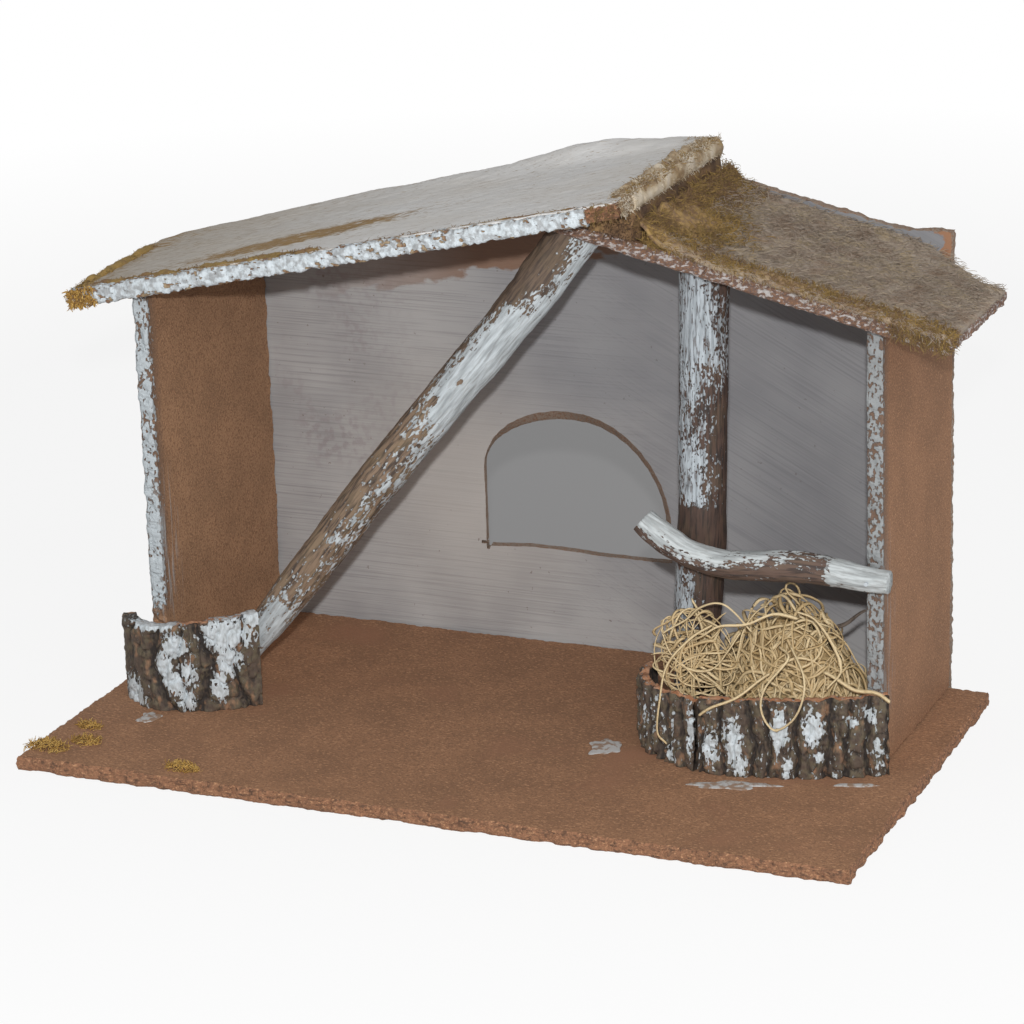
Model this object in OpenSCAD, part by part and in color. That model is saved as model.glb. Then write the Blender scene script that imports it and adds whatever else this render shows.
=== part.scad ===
// Nativity stable: a small open-fronted barn that stands on a table with figures set in it.
// Softboard base, walls and roof, three bare branches, slabs of bark, curly straw and moss.
// The origin is the middle of the base's underside. X runs along the front, Y to the back, Z up.

/* [Base] */
// Width of the base board along the front
base_w = 360; // [340:1:420]
// Depth of the base board
base_d = 195; // [180:1:240]
// Thickness of the base board
base_t = 6; // [4:0.5:10]

/* [Walls] */
// Thickness of the two side walls
wall_t = 6.5; // [5:0.5:10]
// Thickness of the back wall
back_t = 4.5; // [3.5:0.5:8]
// How far the left wall stands in from the base's left edge
left_inset = 21; // [10:1:35]
// How far the right wall stands in from the base's right edge
right_inset = 18; // [8:1:30]
// How far the left wall's front edge stands behind the base's front edge
left_setback = 84; // [70:1:95]
// How far the right wall's front edge stands behind the base's front edge
right_setback = 98.5; // [80:0.5:110]
// How far the back wall's top stands above the right roof board
wall_rise = 3.2; // [2:0.1:8]
// Width of the level shoulder at the right end of the back wall's top
shoulder_w = 24; // [10:1:40]

/* [Window] */
// Width of the window sawn in the back wall
window_w = 87; // [50:1:100]
// Height of the window from its sill to its crown
window_h = 64; // [40:1:90]
// Height of the sill above the base board
sill_h = 42.5; // [20:0.5:70]
// How far the window's middle lies left of the base's middle
window_left = 6.5; // [-20:0.5:30]
// Width of the saw cut
kerf = 0.8; // [0.5:0.1:1.5]
// How far the saw ran past the corners of the sill
overcut = 5; // [1:0.5:8]

/* [Roof] */
// Thickness of the two roof boards
roof_t = 6; // [4:0.5:9]
// Height of the line where the right board's top meets the left board's underside
ridge_h = 226.2; // [200:0.1:250]
// How far that line lies right of the base's middle
ridge_right = 34; // [20:1:45]
// Slope of the left board in degrees
left_pitch = 12.4; // [9:0.1:15]
// Slope of the right board in degrees
right_pitch = 13.2; // [11:0.1:16]
// How far the left board runs on past that line, above the right board
roof_lap = 30.2; // [22:0.1:40]
// How far the right board is tucked under the left one past that line
roof_tuck = 6; // [2:0.5:9]
// How far the left board reaches past the left wall's outer face
left_eave = 22; // [10:1:35]
// How far the right board reaches past the right wall's outer face
right_eave = 31; // [15:1:40]
// How far the left board stands out in front of its wall
left_overhang = 10.5; // [4:0.5:16]
// How far the right board stands out in front of its wall
right_overhang = 9; // [4:0.5:16]
// How far the left board reaches past the back wall's rear face
back_overhang = 4; // [0:0.5:10]
// Width of the corner broken off the left board at the back
left_break_w = 87; // [40:1:110]
// Depth of the corner broken off the left board at the back
left_break_d = 47; // [20:1:55]
// Width of the corner broken off the right board at the back
right_break_w = 53; // [20:1:65]
// Depth of the corner broken off the right board at the back
right_break_d = 28; // [10:1:35]

/* [Branches] */
// Thickness of the pole that leans up to the ridge
pole_d = 19; // [12:0.5:22]
// How far the pole's foot stands right of the left wall's inner face
pole_in = 17; // [14:0.5:24]
// How far the pole's foot stands behind the left wall's front edge
pole_back = 13; // [11:0.5:16]
// How far the pole's head lies right of the line where the roof boards meet
pole_past = 6.5; // [4:0.5:12]
// Thickness of the upright post
post_d = 20.2; // [12:0.1:22]
// How far the post stands left of the right wall's inner face
post_in = 76.5; // [70:0.5:84]
// How far the post's head leans to the right of its foot
post_lean = 6.5; // [0:0.5:10]
// Thickness of the crooked rail
rail_d = 12; // [8:0.1:14]
// Height of the rail's middle above the base board
rail_h = 85; // [80:0.5:100]
// How far the rail runs on past the post
rail_past_post = 18.5; // [14:0.5:24]
// How far the rail runs on past the right wall's outer face
rail_past_wall = 5; // [1:0.5:8]

/* [Bark] */
// Thickness of the bark at the left corner, without its ridges
corner_t = 5; // [3:0.5:6]
// Width of the bark at the left corner
corner_w = 54; // [46:1:58]
// Height of the bark at the left corner
corner_h = 41; // [30:1:55]
// Thickness of the manger's two slabs of bark, without their ridges
slab_t = 4; // [3:0.25:4.5]
// Height of the manger's slabs
slab_h = 34; // [25:1:45]
// Width of the manger's front slab
front_slab_w = 74; // [68:1:76]
// Depth of the ridges in all the bark
ridge_d = 1.6; // [0.5:0.1:2]

/* [Straw and moss] */
// Height of the heap of straw above the base board
straw_h = 70; // [45:1:74]
// Width of the heap of straw
straw_w = 64; // [45:1:66]
// Depth of the heap of straw
straw_d = 48; // [36:1:52]
// Thickness of the moss that covers the right roof board
moss_t = 1.5; // [1:0.1:4]
// Height of the moss heaped along the edges of the roof
moss_h = 4; // [2:0.1:6]
// Height of the moss tufts on the base
tuft_h = 6; // [3:0.5:10]

/* [Fixings] */
// Thickness of the brads
brad_d = 1.2; // [0.8:0.1:1.6]
// How far each brad goes into the second piece
brad_grip = 10; // [6:0.5:12]
// Thickness of the nails in the branches
nail_d = 1.6; // [1.2:0.1:2]
// Thickness of the smears of glue left on the base
smear_t = 0.4; // [0.2:0.1:1]

/* [Hidden] */
$fn = 32;

// Gap left for glue between two boards
glue = 0.1;
// Gap round a brad or nail in its hole
hole_gap = 0.05;
// Gap between soft pieces, or bark, and what they lean on
soft_gap = 0.3;
// How far a cut runs on past the face it leaves by
overrun = 1;
// A cube this large takes away all that lies beyond a roof board
space = base_w + base_d + ridge_h;

left_x = -base_w / 2 + left_inset;
right_x = base_w / 2 - right_inset;
front_y = -base_d / 2;
back_y = base_d / 2;
left_front_y = front_y + left_setback;
right_front_y = front_y + right_setback;
ridge_x = ridge_right;

left_run = (ridge_x - left_x + left_eave) / cos(left_pitch);
right_run = (right_x + right_eave - ridge_x) / cos(right_pitch);
left_roof_front = left_front_y - left_overhang;
left_roof_back = back_y + back_t + back_overhang;
right_roof_front = right_front_y - right_overhang;
right_roof_back = back_y - glue;

function left_under(x) = ridge_h + tan(left_pitch) * (x - ridge_x);
function right_top(x) = ridge_h - tan(right_pitch) * (x - ridge_x);
function wall_top(x) = right_top(x) + wall_rise;

function unit(v) = v / norm(v);

// Solid skin over a row of sections that all have as many points
module skin(sections) {
    n = len(sections[0]);
    rows = len(sections);
    points = [for (section = sections) for (point = section) point];
    start = [for (k = [n - 1 : -1 : 0]) k];
    end = [for (k = [0 : n - 1]) (rows - 1) * n + k];
    sides = [for (i = [0 : rows - 2]) for (k = [0 : n - 1])
        let (a = i * n + k, b = i * n + (k + 1) % n)
            each [[a, b, b + n], [a, b + n, a + n]]];
    polyhedron(points, concat([start], sides, [end]));
}

// Path of a branch from a to b: each row of shares is how far along, how far across,
// and its thickness, the first two as shares of the length and the last of d
function branch_path(a, b, shares) =
    let (across = unit(cross(b - a, [0, 1, 0])))
        [for (s = shares) a + (b - a) * s[0] + across * norm(b - a) * s[1]];

module branch(a, b, d, shares, sides = 14) {
    path = branch_path(a, b, shares);
    last = len(path) - 1;
    skin([for (i = [0 : last])
        let (
            way = unit(path[min(i + 1, last)] - path[max(i - 1, 0)]),
            side = unit(cross(way, [0, 1, 0])),
            up = cross(side, way),
            r = d / 2 * shares[i][2]
        )
            [for (k = [0 : sides - 1])
                let (turn = 360 * k / sides, knot = 1 + knot_share * sin(2 * turn + 140 * i))
                    path[i] + r * knot * (cos(turn) * side + sin(turn) * up)]]);
}
// How far a branch is out of round
knot_share = 0.04;

// Path of a slab of bark at share s, bowed out from the line between a and b. With a lean
// below one it bows out most near a
function bark_path(a, b, bulge, lean, s) =
    let (run = b - a, out = [run[1], -run[0]] / norm(run), q = pow(s, lean))
        a + run * s + out * bulge * 4 * q * (1 - q);

// Upright slab of bark from a to b, ridged on its outer side, with its top edge rising
// and falling
module bark_slab(a, b, bulge, lean, t, h_start, h_end, ridges, steps) {
    skin([for (i = [0 : steps])
        let (
            s = i / steps,
            inner = bark_path(a, b, bulge, lean, s),
            way = unit(bark_path(a, b, bulge, lean, min(s + 1 / steps, 1))
                - bark_path(a, b, bulge, lean, max(s - 1 / steps, 0))),
            face = [way[1], -way[0]],
            ridge = ridge_d * (0.5 + 0.5 * cos(360 * ridges * s + 70 * sin(500 * s))),
            outer = inner + face * (t + ridge),
            h = h_start + (h_end - h_start) * s + ridge_d * sin(900 * s),
            low = base_t,
            high = base_t + h
        )
            [[outer[0], outer[1], low], [outer[0], outer[1], high],
             [inner[0], inner[1], high], [inner[0], inner[1], low]]]);
}

// Heap that narrows upwards over an oval foot, with a lumpy outline
module heap(w, d, h, lump_share, steps = 6, sides = 20) {
    skin([for (i = [0 : steps])
        let (rise = i / steps, narrow = max(sqrt(1 - rise * rise), peak_share))
            [for (k = [0 : sides - 1])
                let (
                    turn = -360 * k / sides,
                    lump = 1 - lump_share * (0.5 + 0.5 * sin(3 * turn + 200 * rise))
                )
                    [w / 2 * narrow * lump * cos(turn), d / 2 * narrow * lump * sin(turn), h * rise]]]);
}
// Width of a heap's top as a share of its foot
peak_share = 0.25;

// Strip of moss from a to b on a board, flat below and rounded above
module moss_strip(a, b, w, h, waves) {
    run = b - a;
    side = [-run[1], run[0]] / norm(run);
    steps = 2 * waves + 2;
    skin([for (i = [0 : steps])
        let (
            s = i / steps,
            end_share = min(1, 3 * s + 0.3, 3 * (1 - s) + 0.3),
            high = h * end_share * (0.8 + 0.2 * sin(360 * waves * s)),
            half = w / 2 * end_share * (0.85 + 0.15 * cos(360 * waves * s)),
            mid = a + run * s,
            l = mid + side * half,
            r = mid - side * half,
            m = (l + mid) / 2,
            n = (r + mid) / 2
        )
            [[r[0], r[1], 0], [n[0], n[1], high], [m[0], m[1], high], [l[0], l[1], 0]]]);
}

// The left board's frame: its origin is the meeting line, its X runs up the slope
module on_left_slope() {
    translate([ridge_x, 0, ridge_h]) rotate([0, -left_pitch, 0]) children();
}

// The right board's frame: its top lies at zero, its X runs down the slope
module on_right_slope() {
    translate([ridge_x, 0, ridge_h]) rotate([0, right_pitch, 0]) children();
}

module above_left_board() {
    on_left_slope() translate([-space, -space, -glue]) cube([2 * space, 2 * space, space]);
}

module above_right_board() {
    on_right_slope() translate([-space, -space, -roof_t - glue]) cube([2 * space, 2 * space, space]);
}

// Upright board of thickness t whose front face is at y, from an outline in X and Z
module standing(y, t) {
    translate([0, y + t, 0]) rotate([90, 0, 0]) linear_extrude(t) children();
}

// Brads up through the base into the side walls; grow widens them into their holes
brad_shares = [0.12, 0.5, 0.88];
module base_brad_set(grow = 0) {
    for (s = brad_shares) {
        translate([left_x + wall_t / 2, left_front_y + s * (back_y - left_front_y), -grow])
            cylinder(d = brad_d + 2 * grow, h = base_t + brad_grip + 2 * grow);
        translate([right_x - wall_t / 2, right_front_y + s * (back_y - right_front_y), -grow])
            cylinder(d = brad_d + 2 * grow, h = base_t + brad_grip + 2 * grow);
    }
}

// Brads through the back wall into the base and the rear edges of the side walls
back_brad_shares = [0.08, 0.36, 0.64, 0.92];
side_brad_shares = [0.3, 0.8];
module back_brad(x, z, grow) {
    translate([x, back_y + back_t + grow, z]) rotate([90, 0, 0])
        cylinder(d = brad_d + 2 * grow, h = back_t + brad_grip + 2 * grow);
}
module back_brad_set(grow = 0) {
    for (s = back_brad_shares)
        back_brad(left_x + s * (right_x - left_x), base_t / 2, grow);
    for (s = side_brad_shares) {
        back_brad(left_x + wall_t / 2, base_t + s * (left_under(left_x) - base_t), grow);
        back_brad(right_x - wall_t / 2, base_t + s * (right_top(right_x) - roof_t - base_t), grow);
    }
}

// Brads down through the roof boards into the walls
module roof_brad(x, y, top, grow) {
    translate([x, y, top - roof_t - brad_grip - grow])
        cylinder(d = brad_d + 2 * grow, h = roof_t + brad_grip + 2 * grow);
}
left_brad_shares = [0.1, 0.55];
right_brad_shares = [0.15, 0.65];
back_top_shares = [0.3, 0.6, 0.85];
module roof_brad_set(grow = 0) {
    on_left_slope() {
        wall_u = (left_x + wall_t / 2 - ridge_x) / cos(left_pitch);
        for (s = left_brad_shares)
            roof_brad(wall_u, left_front_y + s * (back_y - left_front_y), roof_t, grow);
        for (s = back_top_shares)
            roof_brad(wall_u * (1 - s), back_y + back_t / 2, roof_t, grow);
    }
    on_right_slope() {
        wall_u = (right_x - wall_t / 2 - ridge_x) / cos(right_pitch);
        for (s = right_brad_shares)
            roof_brad(wall_u, right_front_y + s * (back_y - right_front_y), 0, grow);
    }
}

module base_board() {
    color([0.50, 0.37, 0.28])
    difference() {
        translate([-base_w / 2, front_y, 0]) cube([base_w, base_d, base_t]);
        base_brad_set(hole_gap);
        back_brad_set(hole_gap);
        foot_nail_set(hole_gap);
    }
}

// The window's sides spring from the sill at these shares of its height, and its crown
// lies at this share of its width
left_spring_share = 0.55;
right_spring_share = 0.2;
crown_share = 0.46;
// The saw was held askew round the crown: there the window is lower, and narrower on the
// right, in the wall's rear face
crown_skew = 5;
right_skew = 4;

// Outline of the window at depth y, with its crown and right side drawn in
function window_ring(y, crown_in, right_in) =
    let (
        left = -window_left - window_w / 2,
        right = left + window_w - right_in,
        sill = base_t + sill_h,
        crown = left + crown_share * window_w,
        left_spring = sill + left_spring_share * window_h,
        right_spring = sill + right_spring_share * window_h,
        top = sill + window_h - crown_in
    )
        concat(
            [[left + window_w, y, sill], [left, y, sill]],
            [for (a = [0 : 10 : 90])
                [crown - (crown - left) * cos(a), y, left_spring + (top - left_spring) * sin(a)]],
            [for (a = [80 : -10 : 0])
                [crown + (right - crown) * cos(a), y, right_spring + (top - right_spring) * sin(a)]]
        );

module window_hole() {
    left = -window_left - window_w / 2;
    sill = base_t + sill_h;
    // The skew at the two ends of the cut, which runs past both faces of the wall
    past = overrun / back_t;
    skin([
        window_ring(back_y + back_t + overrun, (1 + past) * crown_skew, (1 + past) * right_skew),
        window_ring(back_y - overrun, -past * crown_skew, -past * right_skew)
    ]);
    translate([left - overcut, back_y - overrun, sill])
        cube([overcut + kerf, back_t + 2 * overrun, kerf]);
    translate([left, back_y - overrun, sill - overcut])
        cube([kerf, back_t + 2 * overrun, overcut + kerf]);
}

module back_wall() {
    shoulder = right_x - shoulder_w;
    rise = tan(left_pitch) + tan(right_pitch);
    peak = ridge_x + (wall_rise + glue) / rise;
    color([0.60, 0.58, 0.57])
    difference() {
        standing(back_y, back_t) polygon([
            [left_x, 0], [right_x, 0], [right_x, wall_top(shoulder)], [shoulder, wall_top(shoulder)],
            [peak, wall_top(peak)], [left_x, left_under(left_x) - glue]
        ]);
        window_hole();
        back_brad_set(hole_gap);
        roof_brad_set(hole_gap);
    }
}

module side_wall(x, y) {
    translate([x, y, base_t]) cube([wall_t, back_y - glue - y, ridge_h]);
}

module left_wall() {
    color([0.50, 0.37, 0.28])
    difference() {
        side_wall(left_x, left_front_y);
        above_left_board();
        base_brad_set(hole_gap);
        back_brad_set(hole_gap);
        roof_brad_set(hole_gap);
    }
}

module right_wall() {
    color([0.50, 0.37, 0.28])
    difference() {
        side_wall(right_x - wall_t, right_front_y);
        above_right_board();
        base_brad_set(hole_gap);
        back_brad_set(hole_gap);
        roof_brad_set(hole_gap);
        rail_nail_set(hole_gap);
    }
}

// Where the break in the left board's corner bends, as shares of the break
left_break_shares = [[0.36, 0.4], [0.08, 0.57]];
// Where the break in the right board's corner bends, as shares of the break
right_break_shares = [[0.68, 0.25], [0.23, 0.97]];
// Bevel at the left board's back corner above the right one
lap_bevel = 14;
// How far the left board's end runs out to the left towards the back
eave_splay = 7;

function left_outline() = concat(
    [[-left_run, left_roof_front], [roof_lap, left_roof_front], [roof_lap, left_roof_back - lap_bevel],
     [roof_lap - lap_bevel, left_roof_back], [left_break_w - left_run, left_roof_back]],
    [for (s = left_break_shares)
        [s[0] * left_break_w - left_run, left_roof_back - s[1] * left_break_d]],
    [[-left_run - eave_splay, left_roof_back - left_break_d]]
);

function right_outline(start, edge) = concat(
    [[start, right_roof_front + edge], [right_run - edge, right_roof_front + edge],
     [right_run - edge, right_roof_back - right_break_d - edge]],
    [for (s = [right_break_shares[1], right_break_shares[0]])
        [right_run - edge - s[0] * right_break_w, right_roof_back - edge - s[1] * right_break_d]],
    [[right_run - edge - right_break_w, right_roof_back - edge], [start, right_roof_back - edge]]
);

module left_roof_board() {
    color([0.66, 0.62, 0.57])
    difference() {
        on_left_slope() linear_extrude(roof_t) polygon(left_outline());
        roof_brad_set(hole_gap);
    }
}

module right_roof_board() {
    color([0.47, 0.36, 0.30])
    difference() {
        on_right_slope() translate([0, 0, -roof_t]) linear_extrude(roof_t)
            polygon(right_outline(-roof_tuck, 0));
        above_left_board();
        roof_brad_set(hole_gap);
        head_nail_set(hole_gap);
    }
}

// How far the pole's head lies behind its foot
pole_head_back = 4;
pole_foot = [left_x + wall_t + pole_in, left_front_y + pole_back, base_t];
pole_head = [ridge_x + pole_past, left_front_y + pole_back + pole_head_back, ridge_h];
pole_shares = [
    [-0.03, 0, 0.63], [0.1, 0.002, 0.68], [0.15, 0.002, 0.78], [0.21, 0.002, 0.87], [0.32, 0.002, 0.93],
    [0.44, 0.0035, 0.99], [0.56, 0.0015, 0.97], [0.66, -0.001, 0.99], [0.78, -0.003, 0.99],
    [0.87, -0.0045, 1.05], [0.94, -0.002, 1.08], [1.03, 0, 1.06]
];

// Widest place of the post as a share of its thickness
post_bulge_share = 1.05;
post_foot = [right_x - wall_t - post_in, right_front_y + post_d / 2 * post_bulge_share, base_t];
post_head = [post_foot[0] + post_lean, post_foot[1], right_top(post_foot[0] + post_lean)];
post_shares = [
    [-0.02, 0, 0.93], [0.12, 0.003, 0.94], [0.25, 0.001, 0.96], [0.38, -0.003, 0.98], [0.5, -0.006, 0.99],
    [0.62, -0.005, 1], [0.75, -0.003, 0.99], [0.88, -0.001, 1], [1.02, 0, 0.99]
];

// Widest place of the rail as a share of its thickness
rail_bulge_share = 1.06;
rail_y = right_front_y - rail_d / 2 * rail_bulge_share - soft_gap;
rail_left = [post_foot[0] + post_lean / 2 - rail_past_post, rail_y, base_t + rail_h];
rail_right = [right_x + rail_past_wall, rail_y, base_t + rail_h];
rail_shares = [
    [0, 0.128, 0.85], [0.04, 0.094, 0.97], [0.1, 0.054, 1], [0.18, 0.012, 0.95], [0.28, -0.011, 0.97],
    [0.36, -0.016, 0.99], [0.46, -0.011, 1.03], [0.56, -0.001, 1.05], [0.68, 0.006, 1], [0.8, -0.004, 0.95],
    [0.9, -0.017, 0.9], [1, -0.02, 0.82]
];

module leaning_pole() {
    color([0.56, 0.49, 0.44])
    difference() {
        branch(pole_foot, pole_head, pole_d, pole_shares);
        translate([-space / 2, -space / 2, base_t - space]) cube(space);
        above_left_board();
        above_right_board();
        foot_nail_set(hole_gap);
        head_nail_set(hole_gap);
    }
}

module upright_post() {
    color([0.68, 0.69, 0.70])
    difference() {
        branch(post_foot, post_head, post_d, post_shares);
        translate([-space / 2, -space / 2, base_t - space]) cube(space);
        above_right_board();
        foot_nail_set(hole_gap);
        head_nail_set(hole_gap);
        rail_nail_set(hole_gap);
    }
}

module crooked_rail() {
    color([0.66, 0.66, 0.66])
    difference() {
        branch(rail_left, rail_right, rail_d, rail_shares);
        rail_nail_set(hole_gap);
    }
}

// Nails up through the base into the feet of the pole and the post
module foot_nail_set(grow = 0) {
    for (place = [pole_foot + [pole_d / 4, 0, 0], post_foot])
        translate([place[0], place[1], -grow])
            cylinder(d = nail_d + 2 * grow, h = base_t + brad_grip + 2 * grow);
}

// Nails down through the right roof board into the heads of the pole and the post
module head_nail_set(grow = 0) {
    on_right_slope()
        for (place = [[pole_past - roof_t / 2, pole_head[1]], [post_head[0] - ridge_x, post_head[1]]])
            translate([place[0], place[1], -roof_t - brad_grip - grow])
                cylinder(d = nail_d + 2 * grow, h = roof_t + brad_grip + 2 * grow);
}

// Nails through the rail into the post and into the right wall's front edge
rail_nail_shares = [[0.175, 0.012], [0.925, -0.017]];
module rail_nail_set(grow = 0) {
    length = rail_right[0] - rail_left[0];
    rail_front = rail_y - rail_d / 2 * rail_bulge_share;
    for (s = rail_nail_shares)
        translate([rail_left[0] + s[0] * length, rail_front - grow, rail_left[2] + s[1] * length])
            rotate([-90, 0, 0]) cylinder(d = nail_d + 2 * grow, h = rail_d + brad_grip + 2 * grow);
}

// How far the bark at the left corner starts left of the wall
corner_left = 7;
// How far it bows out to the front, and where it bows out most
corner_bulge = 15;
corner_lean = 0.75;
// How far its right end stands behind its left end
corner_skew = 4.5;
module corner_bark() {
    a = [left_x - corner_left, left_front_y];
    color([0.22, 0.17, 0.15])
    bark_slab(a, a + [corner_w, corner_skew], corner_bulge, corner_lean, corner_t,
        corner_h - corner_t, corner_h, 6, 48);
}

// The front slab's right end stands just in front of the right wall, and its left end
// further forward by this much
slab_forward = 21;
front_slab_bulge = 5;
front_slab_b = [right_x + slab_t / 2, right_front_y - soft_gap];
front_slab_run = sqrt(front_slab_w * front_slab_w - slab_forward * slab_forward);
front_slab_a = front_slab_b - [front_slab_run, slab_forward];
// Depth of the left slab's back end behind its front end, and its width
left_slab_d = 32;
left_slab_w = 30;
left_slab_bulge = 9;
left_slab_lean = 0.75;
left_slab_b = front_slab_a + [-slab_t / 4, slab_t / 4 + soft_gap];
left_slab_a = left_slab_b + [-left_slab_w, left_slab_d];

module manger_left_bark() {
    color([0.25, 0.19, 0.17])
    bark_slab(left_slab_a, left_slab_b, left_slab_bulge, left_slab_lean, slab_t, slab_h - slab_t,
        slab_h - slab_t, 5, 32);
}

module manger_front_bark() {
    color([0.25, 0.19, 0.17])
    bark_slab(front_slab_a, front_slab_b, front_slab_bulge, 1, slab_t, slab_h - slab_t / 2,
        slab_h, 9, 60);
}

// How far the heap of straw comes forward past the right wall's front edge
straw_forward = 12;
straw_x = right_x - wall_t - soft_gap - straw_w / 2;
straw_y = right_front_y + straw_d / 2 - straw_forward;
module straw_heap() {
    color([0.78, 0.66, 0.42])
    difference() {
        translate([straw_x, straw_y, base_t + soft_gap])
            heap(straw_w, straw_d, straw_h, 0.12);
        stalk(soft_gap);
    }
}

// Dry stalk that sticks out of the heap's right side, at this share of its height and
// this far round from its middle; grow widens it into its hole in the straw
stalk_length = 22;
stalk_d = 2.2;
stalk_rise = 35;
module stalk(grow = 0) {
    translate([straw_x + straw_w / 6, straw_y, base_t + straw_h * stalk_share])
        rotate([0, 90 - stalk_rise, 0]) translate([0, 0, -grow])
            cylinder(d1 = stalk_d + 2 * grow, d2 = stalk_d / 2 + 2 * grow, h = stalk_length + grow);
}
// Height at which the stalk starts, as a share of the heap's
stalk_share = 0.72;
module dry_stalk() {
    color([0.35, 0.29, 0.24]) stalk();
}

module left_roof_moss() {
    edge = moss_h;
    front = left_roof_front + edge;
    back = left_roof_back - edge;
    color([0.55, 0.46, 0.20])
    on_left_slope() translate([0, 0, roof_t]) {
        moss_strip([-left_run + edge, front + moss_h], [-left_run + edge - eave_splay / 2,
            left_roof_back - left_break_d - edge], 2 * moss_h, moss_h, 3);
        moss_strip([-left_run + left_break_w, back], [roof_lap - lap_bevel - edge, back], 2 * moss_h,
            moss_h * crest_share, 6);
        moss_strip([roof_lap - edge, front + moss_h], [roof_lap - edge, back - lap_bevel], 2 * moss_h,
            moss_h, 4);
    }
}
// Height of the moss along the top of the roof as a share of the rest
crest_share = 1.4;

module right_roof_moss() {
    start = roof_lap + moss_h;
    edge = moss_t;
    color([0.47, 0.41, 0.24])
    on_right_slope() {
        linear_extrude(moss_t) polygon(right_outline(start, edge));
        translate([0, 0, moss_t])
            moss_strip([start + moss_h, right_roof_front + 2 * moss_h],
                [right_run - moss_h, right_roof_front + 2 * moss_h], 2 * moss_h, moss_h / 2, 8);
    }
}

// Moss pushed into the wedge between the two roof boards
module ridge_moss() {
    start = ridge_x + moss_h;
    end = ridge_x + roof_lap * cos(left_pitch);
    lower = glue / cos(right_pitch);
    upper = glue / cos(left_pitch);
    color([0.52, 0.43, 0.20])
    standing(right_roof_front + moss_h, right_roof_back - right_roof_front - 2 * moss_h)
        polygon([
            [start, right_top(start) + lower], [end, right_top(end) + lower],
            [end, left_under(end) - upper], [start, left_under(start) - upper]
        ]);
}

// Tufts on the base near its left front corner, as shares of its width and depth
tuft_shares = [[0.022, 0.07, 1.4], [0.055, 0.12, 1], [0.2, 0.055, 1.1], [0.036, 0.2, 0.8]];
module base_moss() {
    color([0.52, 0.45, 0.18])
    for (s = tuft_shares)
        translate([-base_w / 2 + s[0] * base_w, front_y + s[1] * base_d, base_t])
            heap(2 * tuft_h * s[2], tuft_h * s[2], tuft_h * s[2] / 2, 0.2, 4, 12);
}

module base_brads() {
    color("silver") base_brad_set();
}

module back_brads() {
    color("silver") back_brad_set();
}

module roof_brads() {
    color("silver") roof_brad_set();
}

module rail_nails() {
    color("silver") rail_nail_set();
}

module branch_nails() {
    color("silver") {
        foot_nail_set();
        head_nail_set();
    }
}

// Smears of glue on the base, in front of the bark: where each lies and its length and width
module smear(place, length, width, turn) {
    translate([place[0], place[1], base_t]) rotate([0, 0, turn])
        linear_extrude(smear_t) polygon([for (a = [0 : 20 : 340])
            [length / 2 * cos(a), width / 2 * sin(a) * (0.8 + 0.2 * sin(3 * a))]]);
}
smear_w = 6;
module glue_smears() {
    lead = slab_t + 2 * ridge_d + smear_w;
    color("gainsboro") {
        smear([left_slab_a[0] - 2.5 * smear_w, right_front_y - 2 * smear_w], 3 * smear_w, 2 * smear_w, 15);
        smear((front_slab_a + front_slab_b) / 2 - [3 * smear_w, lead + front_slab_bulge], 5 * smear_w,
            smear_w, 16);
        smear(front_slab_b - [smear_w, lead + smear_w / 2], 4 * smear_w, smear_w / 2, 18);
        smear([left_x + corner_w / 4, left_front_y - corner_bulge - corner_t - 2 * smear_w], 2 * smear_w,
            smear_w, 20);
    }
}

base_board();
back_wall();
left_wall();
right_wall();
left_roof_board();
right_roof_board();
leaning_pole();
upright_post();
crooked_rail();
corner_bark();
manger_left_bark();
manger_front_bark();
straw_heap();
dry_stalk();
left_roof_moss();
right_roof_moss();
ridge_moss();
base_moss();
base_brads();
back_brads();
roof_brads();
rail_nails();
branch_nails();
glue_smears();
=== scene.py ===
import itertools
import math

import bpy
import numpy as np
from mathutils import Matrix, Vector
from mathutils.geometry import tessellate_polygon


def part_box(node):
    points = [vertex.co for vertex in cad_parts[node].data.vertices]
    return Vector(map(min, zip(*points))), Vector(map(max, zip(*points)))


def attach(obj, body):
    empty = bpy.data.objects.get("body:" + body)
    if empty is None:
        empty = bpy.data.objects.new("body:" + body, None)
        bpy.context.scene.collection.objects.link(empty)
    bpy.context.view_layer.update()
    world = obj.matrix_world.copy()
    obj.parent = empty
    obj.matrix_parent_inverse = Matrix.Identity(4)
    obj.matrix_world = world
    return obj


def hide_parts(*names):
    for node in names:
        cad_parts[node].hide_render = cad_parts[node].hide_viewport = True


# Finished surfaces of a small nativity stable: softboard, whitewash, bare branches, bark,
# curly straw and moss. Shapes are worked out in millimetres and go into a mesh in metres.
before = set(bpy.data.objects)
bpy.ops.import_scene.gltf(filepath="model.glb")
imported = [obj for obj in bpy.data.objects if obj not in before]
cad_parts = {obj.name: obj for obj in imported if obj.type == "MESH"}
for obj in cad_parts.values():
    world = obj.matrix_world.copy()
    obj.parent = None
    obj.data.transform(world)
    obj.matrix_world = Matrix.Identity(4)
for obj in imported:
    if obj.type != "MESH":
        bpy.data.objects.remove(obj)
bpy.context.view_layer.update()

# The base board
# One sheet of brown softboard, which is pressed wood fibre, sawn to size. The saw leaves its
# edges torn and crumbly, and stray orange fibres lie in its face.
MM = 0.001


def node_box(node):
    """Lowest and highest corner of a piece of the frame, in millimetres"""
    low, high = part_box(node)
    return np.array(low) / MM, np.array(high) / MM


def unit(v):
    """Directions of length one"""
    v = np.asarray(v, float)
    return v / np.maximum(np.linalg.norm(v, axis=-1, keepdims=True), 1e-9)


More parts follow.
